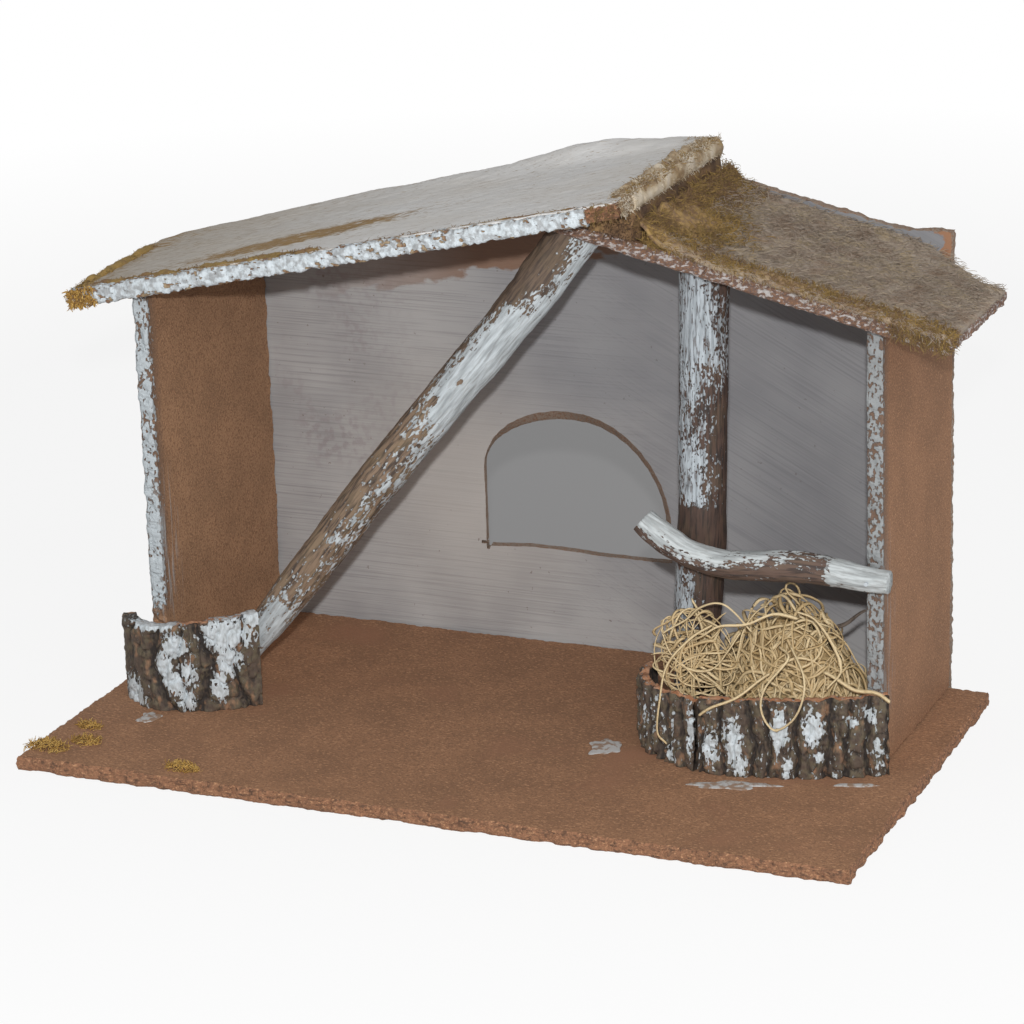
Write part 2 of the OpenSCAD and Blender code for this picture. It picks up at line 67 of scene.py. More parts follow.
def lumps(points, size, seed=0):
    """Smooth noise from -1 to 1 at points in millimetres, with lumps of the given size"""
    at = np.asarray(points, float) / size + 17.3 * seed
    cell = np.floor(at).astype(np.int64)
    share = at - cell
    share = share * share * (3 - 2 * share)
    total = np.zeros(len(at))
    for corner in itertools.product((0, 1), repeat=3):
        mix = (cell + corner) @ np.array([73856093, 19349663, 83492791])
        mix = ((mix ^ (mix >> 13)) * 1274126177) & 0x7FFFFFFF
        mix = ((mix ^ (mix >> 15)) * 668265263) & 0x7FFFFFFF
        value = ((mix >> 7) & 0xFFFF) / 32767.5 - 1
        total += value * np.prod(np.where(corner, share, 1 - share), axis=1)
    return total


def solid(name, slot, nodes, points, faces, materials, which=None, smooth=True, **shares):
    """Piece of the stable from points in millimetres and arrays of quads or triangles, and the
    plain pieces it stands in for; slot is not used. which numbers each face's material, and each
    share is a number, or three, at every point for a finish to read"""
    points = np.asarray(points, float) * MM
    faces = [np.asarray(group, np.int64) for group in faces if len(group)]
    volume = 0
    for group in faces:
        for k in range(1, group.shape[1] - 1):
            a, b, c = points[group[:, 0]], points[group[:, k]], points[group[:, k + 1]]
            volume += np.einsum("ij,ij->i", a, np.cross(b, c)).sum()
    if volume < 0:
        faces = [group[:, ::-1] for group in faces]
    sizes = np.concatenate([np.full(len(group), group.shape[1]) for group in faces])
    corners = np.concatenate([group.ravel() for group in faces])
    mesh = bpy.data.meshes.new(name)
    mesh.vertices.add(len(points))
    mesh.vertices.foreach_set("co", points.ravel())
    mesh.loops.add(len(corners))
    mesh.loops.foreach_set("vertex_index", corners.astype(np.int32))
    mesh.polygons.add(len(sizes))
    mesh.polygons.foreach_set("loop_start", (np.cumsum(sizes) - sizes).astype(np.int32))
    for material in materials:
        mesh.materials.append(material)
    if which is not None:
        mesh.polygons.foreach_set("material_index", np.asarray(which, np.int32))
    mesh.polygons.foreach_set("use_smooth", np.full(len(sizes), smooth))
    for label, values in shares.items():
        values = np.asarray(values, np.float32)
        kind, field = ("FLOAT", "value") if values.ndim == 1 else ("FLOAT_VECTOR", "vector")
        mesh.attributes.new(label, kind, "POINT").data.foreach_set(field, values.ravel())
    mesh.update(calc_edges=True)
    mesh.validate()
    piece = bpy.data.objects.new(name, mesh)
    bpy.context.scene.collection.objects.link(piece)
    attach(piece, "root")
    if nodes:
        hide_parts(*nodes)


def walk(outline):
    """Points about a millimetre apart along a closed outline, and the outward direction at each"""
    outline = np.array(outline, float)
    following = np.roll(outline, -1, axis=0)
    area = np.sum(outline[:, 0] * following[:, 1] - following[:, 0] * outline[:, 1])
    points = []
    for a, b in zip(outline, following):
        count = max(1, round(float(np.linalg.norm(b - a))))
        points += [a + (b - a) * k / count for k in range(count)]
    points = np.array(points)
    run = np.roll(points, -1, axis=0) - np.roll(points, 1, axis=0)
    return points, unit(np.c_[run[:, 1], -run[:, 0]] * np.sign(area))


def band(first, count):
    """Quads between one ring of points, which starts at first, and the next ring"""
    near = first + np.arange(count)
    beside = np.roll(near, -1)
    return np.c_[near, beside, beside + count, near + count]


def turned_to(cap, flat, anticlockwise):
    """Triangles of a cap, all turned one way or the other in the plane of its points"""
    a, b, c = (flat[cap[:, k]] for k in range(3))
    area = np.sum((b - a)[:, 0] * (c - a)[:, 1] - (b - a)[:, 1] * (c - a)[:, 0])
    return cap if (area > 0) == anticlockwise else cap[:, ::-1]


def board(name, slot, node, outline, thickness, place, tear, materials, hole=None, skew=None):
    """Sheet with torn edges. Its outline lies in u and v, and place puts points of u, v and
    depth in the scene. The materials are for its first face, its other face and its edges"""
    rows = 7
    runs = [(*walk(outline), tear)]
    if hole is not None:
        rim, away = walk(hole)
        runs.append((rim, -away, tear * 0.3))
    points, quads, starts, total = [], [], [], 0
    for ring, outward, reach in runs:
        starts.append((total, len(ring)))
        for row, depth in enumerate(np.linspace(0, thickness, rows)):
            flat = skew(ring, depth / thickness) if skew and reach != tear else ring
            at = np.c_[flat, np.full(len(flat), depth)]
            bite = 0.6 * lumps(at, 7) + 0.6 * lumps(at, 2.5, 3) + 0.45 * lumps(at, 1.1, 5) - 0.5
            bite -= 0.5 * (row in (0, rows - 1))
            points.append(np.c_[flat + outward * (reach * bite)[:, None], at[:, 2]])
            if row < rows - 1:
                quads.append(band(total, len(ring)))
            total += len(ring)
    points = np.concatenate(points)
    caps = []
    for row in (0, rows - 1):
        rings = [first + row * count + np.arange(count) for first, count in starts]
        loops = [[Vector((*points[i][:2], 0)) for i in ring] for ring in rings]
        cap = np.concatenate(rings)[np.array(tessellate_polygon(loops))]
        caps.append(turned_to(cap, points[:, :2], row > 0))
    quads = np.concatenate(quads)
    if thickness < 0:
        caps = [cap[:, ::-1] for cap in caps]
    which = np.repeat([2, 0, 1], [len(quads), *map(len, caps)])
    solid(name, slot, [node], place(points), [quads, *caps], materials, which, smooth=False)


def finish(name, roughness):
    """New material and its node tree"""
    material = bpy.data.materials.new(name)
    material.use_nodes = True
    tree = material.node_tree
    tree.nodes["Principled BSDF"].inputs["Roughness"].default_value = roughness
    return material, tree


class Value:
    """Number, place or colour in a finish. Arithmetic on it adds a node that works it out"""

    def __init__(self, tree, socket):
        self.tree = tree
        self.socket = socket

    def math(self, operation, other=0.0):
        return feed(self.tree, "ShaderNodeMath", {0: self, 1: other}, operation=operation)

    def __add__(self, other):
        return self.math("ADD", other)

    def __mul__(self, other):
        return self.math("MULTIPLY", other)

    def __sub__(self, other):
        return self.math("SUBTRACT", other)

    def __rsub__(self, other):
        return feed(self.tree, "ShaderNodeMath", {0: other, 1: self}, operation="SUBTRACT")


def feed(tree, kind, inputs, out=0, **settings):
    """Adds a node, sets or links its inputs, and gives back one of its outputs"""
    node = tree.nodes.new(kind)
    for name, value in settings.items():
        setattr(node, name, value)
    for name, value in inputs.items():
        if isinstance(value, Value):
            tree.links.new(value.socket, node.inputs[name])
        else:
            node.inputs[name].default_value = value
    return Value(tree, node.outputs[out])


def speckle(tree, size, stretch=(1, 1, 1), turn=(0, 0, 0), detail=2, at=None):
    """Noise with spots of a size in millimetres, drawn out by stretch along its own axes"""
    if at is None:
        at = feed(tree, "ShaderNodeTexCoord", {}, "Object")
    at = feed(tree, "ShaderNodeMapping", {"Vector": at, "Rotation": turn, "Scale": stretch},
              vector_type="TEXTURE")
    return feed(tree, "ShaderNodeTexNoise",
                {"Vector": at, "Scale": 1 / (size * MM), "Detail": detail})


def between(value, low, high):
    """Share from 0 at low to 1 at high"""
    return feed(value.tree, "ShaderNodeMapRange",
                {"Value": value, "From Min": low, "From Max": high})


def mixed(share, a, b):
    """Colour a, turning to colour b as the share rises"""
    ends = [colour if isinstance(colour, Value) else (*colour, 1) for colour in (a, b)]
    return feed(share.tree, "ShaderNodeMix", {0: share, 6: ends[0], 7: ends[1]}, 2,
                data_type="RGBA")


def painted(colour, height, depth):
    """Gives the shader its colour, and relief of a depth in millimetres"""
    tree = colour.tree
    shader = tree.nodes["Principled BSDF"]
    tree.links.new(colour.socket, shader.inputs["Base Color"])
    relief = feed(tree, "ShaderNodeBump", {"Height": height, "Distance": depth * MM})
    tree.links.new(relief.socket, shader.inputs["Normal"])


board_brown = (0.335, 0.172, 0.090)
board_dark = (0.21, 0.108, 0.058)
board_red = (0.31, 0.150, 0.082)
fibre_orange = (0.52, 0.28, 0.15)
fibre_dark = (0.06, 0.035, 0.024)


def softboard_colour(tree, base=board_brown, orange_share=0.9):
    """Colour of pressed fibre, and the height of its grain"""
    cloud = between(speckle(tree, 22, detail=3), 0.38, 0.64)
    colour = mixed(cloud, base, [0.78 * part for part in base])
    fine = speckle(tree, 0.9, detail=4)
    colour = mixed(between(fine, 0.47, 0.62) * 0.85, colour, board_dark)
    stray = speckle(tree, 0.7, stretch=(2, 1, 1), detail=2)
    shine = between(stray, 0.56, 0.7) * orange_share
    colour = mixed(shine, colour, fibre_orange)
    return colour, fine


softboard, tree = finish("softboard", 0.92)
colour, grain = softboard_colour(tree)
stain = between(speckle(tree, 45, detail=2), 0.6, 0.75)
painted(mixed(stain, colour, board_red), grain, 0.35)

torn_board, tree = finish("torn softboard", 0.95)
colour, grain = softboard_colour(tree, board_red)
pit = between(speckle(tree, 1.3, stretch=(2, 2, 1), detail=4), 0.5, 0.68)
painted(mixed(pit * 0.75, colour, fibre_dark), grain, 0.6)

base_low, base_high = node_box("base_board")
board(
    "base_softboard", "fibreboard", "base_board",
    [base_low[:2], (base_high[0], base_low[1]), base_high[:2], (base_low[0], base_high[1])],
    base_high[2] - base_low[2], lambda p: p + [0, 0, base_low[2]], 1.1,
    [softboard, softboard, torn_board])

# The two side walls
# Softboard again, stood on the base and nailed up through it. A brush has run down each front
# edge with white paint, which has dragged onto the inner face and stops short of the base.
edge_brown = (0.125, 0.085, 0.065)
left_slope = math.tan(math.radians(12.4))
right_slope = math.tan(math.radians(13.2))
meet_x = 34
meet_z = 226.2
roof_thick = 6
glue_gap = 0.1


def under_left(x):
    """Height of the left roof board's underside"""
    return meet_z + left_slope * (x - meet_x) - glue_gap


def under_right(x):
    """Height of the right roof board's underside"""
    upright_thick = roof_thick / math.cos(math.atan(right_slope))
    return meet_z - right_slope * (x - meet_x) - upright_thick - glue_gap


def axes(tree):
    """The place of a point of the surface, and how far across, back and up it is, in metres"""
    place = feed(tree, "ShaderNodeTexCoord", {}, "Object")
    split = tree.nodes.new("ShaderNodeSeparateXYZ")
    tree.links.new(place.socket, split.inputs[0])
    return place, *(Value(tree, socket) for socket in split.outputs)


def edge_painted(name, front_y, brown, paint_foot, worn, paint):
    """Softboard whose front edge is painted from a height in millimetres up, and partly worn"""
    material, tree = finish(name, 0.9)
    colour, grain = softboard_colour(tree, brown)
    _, _, back, height = axes(tree)
    back = back - front_y * MM
    ragged = speckle(tree, 1.5, stretch=(1, 1, 1.6), detail=6)
    near = between(back, 10 * MM, -1 * MM)
    high = between(height, (paint_foot - 6) * MM, (paint_foot + 8) * MM)
    cover = near * near * high
    wear = (ragged - 0.5) * 1.6
    mask = between(cover * (0.78 - worn) + wear, 0.42, 0.5)
    drag = speckle(tree, 1.8, stretch=(1, 1, 14), detail=3)
    smear = between(drag, 0.5, 0.62) * between(back, 19 * MM, 8 * MM)
    smear = smear * between(height, 0.11, 0.08)
    mask = mask.math("MAXIMUM", smear * (high * 0.6))
    tint = mixed(speckle(tree, 2.5, detail=3), paint, [0.68 * part for part in paint])
    colour = mixed(near * high, colour, edge_brown)
    painted(mixed(mask, colour, tint), grain + mask, 0.4)
    return material


def side_wall(node, under, tear, **paint):
    """Upright sheet whose top follows the roof board over it"""
    low, high = node_box(node)
    top = high[2] + roof_thick / 2

    def stand(p):
        x = low[0] + p[:, 2]
        return np.c_[x, p[:, 0], np.minimum(p[:, 1], under(x))]

    finish_of_it = edge_painted(node + " paint", low[1], **paint)
    board(
        node + "_softboard", "fibreboard", node,
        [(low[1], low[2]), (high[1], low[2]), (high[1], top), (low[1], top)],
        high[0] - low[0], stand, tear, [finish_of_it] * 3)


# The left wall's board is a lighter, less red brown than the same softboard in the right wall; the
# extra lightness is painted light on its inner face
side_wall("left_wall", under_left, tear=1.5, brown=(0.385, 0.218, 0.118), paint_foot=42, worn=-0.1,
          paint=(0.53, 0.58, 0.61))
side_wall("right_wall", under_right, tear=1.0, brown=board_brown, paint_foot=30, worn=0.06,
          paint=(0.335, 0.35, 0.355))

# The back wall
# Thinner board, whitewashed on its inner face with a wide brush and nailed on behind. The
# window was sawn freehand, askew round its crown, and past the corner at its left foot.
wall_low, wall_high = node_box("back_wall")
window_left = -50
window_right = 37
window_sill = 48.5
window_crown = (-10, 112.5)
left_spring = 83.7
right_spring = 61.3
saw_kerf = 0.8
saw_past = 2.5
crown_skew = 5
right_skew = 4
left_flare = 0.8
shoulder_x = 138
wall_rise = 3.2
whitewash_grey = (0.290, 0.283, 0.285)
whitewash_pale = (0.405, 0.397, 0.392)
whitewash_dark = (0.205, 0.195, 0.200)
whitewash_painted_shade = (0.150, 0.158, 0.180)
whitewash_mauve = (0.245, 0.205, 0.210)
whitewash_warm = (0.450, 0.420, 0.392)
warm_spot = (-0.055, 0.1, 0.075)
bare_orange = (0.33, 0.17, 0.095)


def window_outline():
    """The window as sawn in the inner face"""
    crown_x, crown_z = window_crown
    turns = [math.radians(a) for a in range(0, 91, 9)]
    left_arc = [(crown_x - (crown_x - window_left) * math.cos(a),
                 left_spring + (crown_z - left_spring) * math.sin(a)) for a in turns]
    right_arc = [(crown_x + (window_right - crown_x) * math.cos(a),
                  right_spring + (crown_z - right_spring) * math.sin(a)) for a in reversed(turns)]
    sill = [(window_right - s * (window_right - window_left - 2 * saw_kerf),
             window_sill - 1.2 * s * math.sin(7 * s)) for s in (0, 0.2, 0.4, 0.6, 0.8, 1)]
    corner = [(window_left + saw_kerf, window_sill - saw_past),
              (window_left, window_sill - saw_past), (window_left, window_sill),
              (window_left - saw_past, window_sill),
              (window_left - saw_past, window_sill + saw_kerf),
              (window_left, window_sill + saw_kerf)]
    return sill + corner + left_arc + right_arc[1:]


def window_skew(ring, share):
    """The window's rim at a share of the wall's thickness: lower and narrower behind"""
    crown_x, crown_z = window_crown
    x, z = ring[:, 0], ring[:, 1]
    right = x > crown_x
    spring = np.where(right, right_spring, left_spring)
    lowered = z - np.where(z > spring, share * crown_skew * (z - spring) / (crown_z - spring), 0)
    drawn_in = np.where(right, share * right_skew * (x - crown_x) / (window_right - crown_x), 0)
    drawn_in = drawn_in * np.clip((z - window_sill) / (right_spring - window_sill), 0, 1)
    drawn_in = drawn_in + share * left_flare * np.clip((window_left + 12 - x) / 10, 0, 1)
    return np.c_[x - drawn_in, lowered]


def measured(place, operation, other):
    """DISTANCE of a place from another one, or DOT_PRODUCT of the two"""
    return feed(place.tree, "ShaderNodeVectorMath", {0: place, 1: other}, "Value",
                operation=operation)


whitewash, tree = finish("whitewash", 0.8)
place, across, _, height = axes(tree)
cloud = between(speckle(tree, 45, detail=3), 0.36, 0.66)
colour = mixed(cloud, whitewash_pale, whitewash_grey)
level = speckle(tree, 0.8, stretch=(60, 1, 1), detail=2)
slanted = speckle(tree, 0.8, stretch=(70, 1, 1), turn=(0, math.radians(28), 0), detail=2)
to_right = between(across, -0.02, 0.05)
streak = feed(tree, "ShaderNodeMix", {0: to_right, 2: level, 3: slanted})
colour = mixed(between(streak, 0.5, 0.7) * 0.5, colour, whitewash_dark)
colour = mixed(between(streak, 0.46, 0.3) * 0.4, colour, whitewash_pale)
from_warm_spot = measured(place, "DISTANCE", warm_spot)
colour = mixed(between(from_warm_spot, 0.075, 0.02) * 0.7, colour, whitewash_warm)
blotch = between(speckle(tree, 3.5, detail=3), 0.47, 0.62)
blotch = blotch * between(speckle(tree, 40, detail=1), 0.42, 0.56)
blotch = blotch * between(across, -0.07, -0.12) * between(height, 0.05, 0.09)
colour = mixed(blotch * 0.5, colour, whitewash_mauve)
fleck = between(speckle(tree, 2.2, detail=3), 0.71, 0.76)
colour = mixed(fleck * 0.6, colour, (0.13, 0.085, 0.065))
# Painted shade: the whitewash turns a darker, bluish grey on the wall's right half and above the
# window, where the roofs shade it
painted_shade_share = to_right * between(height, 0.0, 0.05)
over_window = between(across, -0.075, -0.02) * between(height, 0.09, 0.125)
painted_shade_share = painted_shade_share.math("MAXIMUM", over_window)
colour = mixed(painted_shade_share * 0.5, colour, whitewash_painted_shade)
roof_line = feed(tree, "ShaderNodeMath",
                 {0: across, 1: left_slope, 2: (meet_z - left_slope * meet_x) * MM},
                 operation="MULTIPLY_ADD")
bare_top = between(roof_line - height, 46 * MM, 27 * MM)
bare_top = bare_top + (speckle(tree, 6, stretch=(2, 1, 1), detail=4) - 0.5)
bare_top = between(bare_top, 0.5, 0.6)
bare_left = between(across, 0.04, 0.01) * between(across, -0.13, -0.05) * 0.85
colour = mixed(bare_top * bare_left, colour, board_dark)
corner = between(across, 0.148, 0.164) + (speckle(tree, 5, detail=4) - 0.5)
corner = between(corner, 0.5, 0.58) * between(height, 0.185, 0.192)
colour = mixed(corner, colour, bare_orange)
painted(colour, streak, 0.15)

sawn_board, tree = finish("sawn softboard", 0.95)
colour, grain = softboard_colour(tree, (0.275, 0.218, 0.175), 0.2)
painted(colour, grain, 0.3)

wall_top_z = meet_z - right_slope * (shoulder_x - meet_x) + wall_rise
peak_x = meet_x + (wall_rise + glue_gap) / (left_slope + right_slope)
board("back_wall_whitewashed", "whitewashed_board", "back_wall",
      [(wall_low[0], wall_low[2]), (wall_high[0], wall_low[2]), (wall_high[0], wall_top_z),
       (shoulder_x, wall_top_z), (peak_x, meet_z + left_slope * (peak_x - meet_x) - glue_gap),
       (wall_low[0], under_left(wall_low[0]))],
      wall_high[1] - wall_low[1],
      lambda p: np.c_[p[:, 0], wall_low[1] + p[:, 2], np.maximum(p[:, 1], wall_low[2])], 0.8,
      [whitewash, softboard, sawn_board], hole=window_outline(), skew=window_skew)

# The two roof boards
# Thick softboard, sawn and broken to shape. The left one laps over the right one at the ridge
# and has gone pale grey on top. The right one hides under its moss and shows a mauve edge.
roof_grey = (0.70, 0.692, 0.68)
roof_cream = (0.665, 0.640, 0.605)
roof_tan = (0.36, 0.305, 0.235)
roof_golden = (0.155, 0.085, 0.026)
mauve_board = (0.155, 0.098, 0.078)
mauve_fleck = (0.43, 0.395, 0.38)
left_mark_x = 21
left_mark_z = meet_z + left_slope * (left_mark_x - meet_x)


def on_slope(p, mark_x, mark_z, turn):
    """From along a slope, counted from a mark on it, back, and out of the board, to the scene"""
    return np.c_[mark_x + p[:, 0] * math.cos(turn) - p[:, 2] * math.sin(turn), p[:, 1],
                 mark_z + p[:, 0] * math.sin(turn) + p[:, 2] * math.cos(turn)]


def on_left(p):
    """From up the left slope, back, and out of the board, to the scene"""
    return on_slope(p, left_mark_x, left_mark_z, math.atan(left_slope))


def on_right(p):
    """From down the right slope, back, and out of the board, to the scene"""
    return on_slope(p, meet_x, meet_z, -math.atan(right_slope))


def share_of(tree, label):
    """A share that was stored with a piece's points"""
    return feed(tree, "ShaderNodeAttribute", {}, "Fac", attribute_name=label)


pale_roof, tree = finish("pale roof", 0.85)
cloud = between(speckle(tree, 30, stretch=(2, 1, 1), detail=4), 0.38, 0.66)
colour = mixed(cloud, roof_grey, roof_cream)
comb = speckle(tree, 0.9, stretch=(26, 1, 1), turn=(0, 0, math.radians(20)), detail=4)
to_eave = between(axes(tree)[1], -0.06, -0.17)
colour = mixed(to_eave * 0.7, colour, roof_tan)
streaky = to_eave * 0.6 + 0.07
colour = mixed(between(comb, 0.5, 0.66) * streaky, colour, (0.27, 0.19, 0.11))
gold = share_of(tree, "gold") + (comb - 0.5) * 3.0
golden = mixed(speckle(tree, 3, stretch=(6, 1, 1), turn=(0, 0, math.radians(20)), detail=3),
               roof_golden, (0.33, 0.205, 0.068))
colour = mixed(between(gold, 0.35, 0.75), colour, golden)
painted(colour, comb, 0.22)

left_eave, left_splay, lap_end = -206.8, -213.8, 43.5
left_front, left_back = -24, 106
left_outline = [
    (left_eave, left_front), (lap_end, left_front), (lap_end, 92), (29.5, left_back),
    (-119.8, left_back), (-175.5, 87.2), (-199.8, 79.2), (left_splay, 59)]
board("left_roof_softboard", "grey_board", "left_roof_board", left_outline, roof_thick, on_left,
      1.2, [softboard, pale_roof, torn_board])

mauve_edge, tree = finish("mauve board edge", 0.95)
colour, grain = softboard_colour(tree, mauve_board, 0.35)
pale = between(speckle(tree, 1.2, stretch=(2, 1, 1), detail=6), 0.52, 0.6)
painted(mixed(pale, colour, mauve_fleck), grain, 0.6)

right_eave, right_tuck = 163.3, -6
right_front, right_back = -8, 97.4
right_outline = [
    (right_tuck, right_front), (right_eave, right_front), (right_eave, 69.4), (151.1, 70.2),
    (127.3, 90.4), (110.3, right_back), (right_tuck, right_back)]


def under_lap(p):
    """On the right slope, kept below the left board"""
    placed = on_right(p)
    placed[:, 2] = np.minimum(placed[:, 2], under_left(placed[:, 0]))
    return placed


board("right_roof_softboard", "fibreboard", "right_roof_board", right_outline, -roof_thick,
      under_lap, 1.2, [softboard, softboard, mauve_edge])

# The frost and the snow on the left roof
# A thin wash of grey-white has dried over the fibres of the board's top. White paint was then
# dabbed thickly along its front edge with a stiff brush: lumpy, ragged, and ending before the
# ridge.
snow_end = 30.5
white_paint = (0.60, 0.655, 0.69)
crumb_brown = (0.21, 0.115, 0.062)


def sheet_over(name, slot, nodes, points, across_count, material, depth, **shares):
    """Closed skin whose outer side is a grid of points and whose inner side lies depth away"""
    rows = len(points) // across_count
    both = np.r_[points, points + depth]
    index = np.arange(len(points)).reshape(rows, across_count)
    top = np.c_[index[:-1, :-1].ravel(), index[:-1, 1:].ravel(), index[1:, 1:].ravel(),
                index[1:, :-1].ravel()]
    rim = np.r_[index[0, :-1], index[:-1, -1], index[-1, :0:-1], index[:0:-1, 0]]
    following = np.roll(rim, -1)
    skirt = np.c_[following, rim, rim + len(points), following + len(points)]
    doubled = {label: np.r_[values, values] for label, values in shares.items()}
    solid(name, slot, nodes, both, [top, top[:, ::-1] + len(points), skirt], [material], **doubled)


def field_grid(u_start, u_end, front, back):
    """Grid of places u, v on a slope, from its front edge to its back edge, and its width"""
    step = 1.1
    us = np.arange(u_start, u_end, step)
    share = np.linspace(0, 1, int((back(us).max() - front) / step))
    return np.array([(u, front + (edge - front) * s) for u, edge in zip(us, back(us))
                     for s in share]), len(share)


def left_back_edge(u):
    """Rear edge of the left board's top"""
    return np.interp(u, *np.array(left_outline[:1:-1]).T) - 1


flat, across_count = field_grid(left_eave + 1, lap_end - 1, left_front + 1, left_back_edge)
outward = np.clip((flat[:, 1] - left_front) / 83, 0, 1) * np.clip((-150 - flat[:, 0]) / 57, 0, 1)
flat[:, 0] -= 7 * outward
u, v = flat.T
spot = np.c_[flat, 0 * u]
combed = np.c_[0.25 * (u + 0.6 * v), v - 0.35 * u, 0 * u]
frost_height = 0.45 + 0.35 * lumps(spot, 16, 65) + 0.2 * lumps(combed, 3, 66)
frost_height += 0.15 * lumps(spot, 1.7, 67)
from_rear = left_back_edge(u) - v
rear_swell = np.interp(u, [-190, -99, -54, -26, -9, 5, 29, 43],
                       [0.5, 1.3, 2.8, 5.4, 6.2, 4.6, 1.2, 0.3])
rear_swell = rear_swell * np.exp(-((from_rear - 8) / 12) ** 2) * np.clip(from_rear / 5, 0, 1) ** 0.6
frost_height = np.maximum(frost_height, 0.08) + rear_swell * (1 + 0.25 * lumps(spot, 9, 68))
streak_way = (u + 116) * 0.93 + (v - 14) * 0.36
streak_side = -(u + 116) * 0.36 + (v - 14) * 0.93
hollow = 1.8 * np.exp(-(streak_way / 42) ** 2 - (streak_side / 10) ** 2)
hollow += 0.9 * np.exp(-((u + 96) / 22) ** 2 - (from_rear / 7) ** 2)
near_front = np.exp(-((v - left_front) / 9) ** 2) * np.clip((-20 - u) / 120, 0, 1)
near_lap = np.exp(-((u - lap_end) / 14) ** 2)
near_eave = np.exp(-((u - left_eave) / 12) ** 2)
gold = np.clip(hollow + 0.6 * near_front + 0.45 * near_lap + 0.6 * near_eave, 0, 1)
frost = on_left(np.c_[flat, roof_thick + np.maximum(frost_height, 0.08)])
sheet_over("left_roof_frost", "grey_board", (), frost, across_count, pale_roof, (0, 0, -0.9),
           gold=gold)

snow, tree = finish("snow paint", 0.7)
border = share_of(tree, "border")
tint = mixed(between(speckle(tree, 2.2, detail=5), 0.42, 0.6), white_paint, (0.36, 0.375, 0.385))
crumb = speckle(tree, 2.2, stretch=(1.6, 1, 1), detail=7) + border * 0.22
crumb = between(crumb + (speckle(tree, 16, detail=2) - 0.5) * 0.25, 0.6, 0.64)
stain = mixed(between(speckle(tree, 2.5, detail=3), 0.42, 0.6), crumb_brown, (0.33, 0.245, 0.15))
painted(mixed(crumb, tint, stain), speckle(tree, 1.0, detail=4) - crumb, 0.5)

along = np.arange(left_eave + 1, snow_end, 0.6)
profile = np.array([(1.5, -0.5), (0.5, -0.9), (-0.1, -0.6), (-0.5, 0.1), (-0.6, 0.9), (-0.6, 1.8),
                    (-0.6, 2.7), (-0.6, 3.6), (-0.6, 4.4), (-0.5, 5.2), (-0.3, 6.0), (0.3, 6.7),
                    (1.3, 7.0), (2.3, 6.8), (3.2, 6.0)])
grid = np.array([(u, left_front + out, up * (0.87 - 0.0006 * u)) for u in along
                 for out, up in profile])
share = np.tile(np.linspace(-1, 1, len(profile)), len(along))
thick = 0.55 * lumps(grid, 5, 2) + 0.5 * lumps(grid, 1.7, 4) + 0.3 * lumps(grid, 0.85, 6)
thick += 0.55 - 1.2 * np.abs(share) ** 3
push = np.c_[np.zeros(len(grid)), -np.cos(share * 1.3), np.sin(share * 1.3)]
sheet_over("roof_snow_paint", "grey_board", (), on_left(grid + push * thick[:, None]), len(profile),
           snow, (0, 2.2, 0), border=np.clip(np.abs(share) * 1.5 - 0.6, 0, 1))

# The leaning pole, the post and the rail
# Branches cut green and dried, with most of their bark left on, then daubed with white paint.
# The paint has taken on the high places and has worn off in flecks along the grain.
bark_brown = (0.235, 0.162, 0.108)
bark_dark = (0.060, 0.042, 0.033)
bark_olive = (0.235, 0.175, 0.100)


def smooth_over(values, window):
    """Values with their corners rounded over a window of samples"""
    weights = np.hanning(window + 2)[1:-1]
    padded = np.pad(values, window // 2, mode="reflect", reflect_type="odd")
    return np.convolve(padded, weights / weights.sum(), mode="same")[window // 2:-(window // 2)]


def closed(points, sides, ends):
    """Points and faces of a skin made of rings, closed to a middle point at each of its ends"""
    hub = len(points)
    first, last = np.arange(sides), hub - sides + np.arange(sides)
    walls = np.concatenate([band(start, sides) for start in range(0, hub - sides, sides)])
    return np.r_[points, ends], [walls, np.c_[np.full(sides, hub), np.roll(first, -1), first],
                                 np.c_[np.full(sides, hub + 1), last, np.roll(last, -1)]]


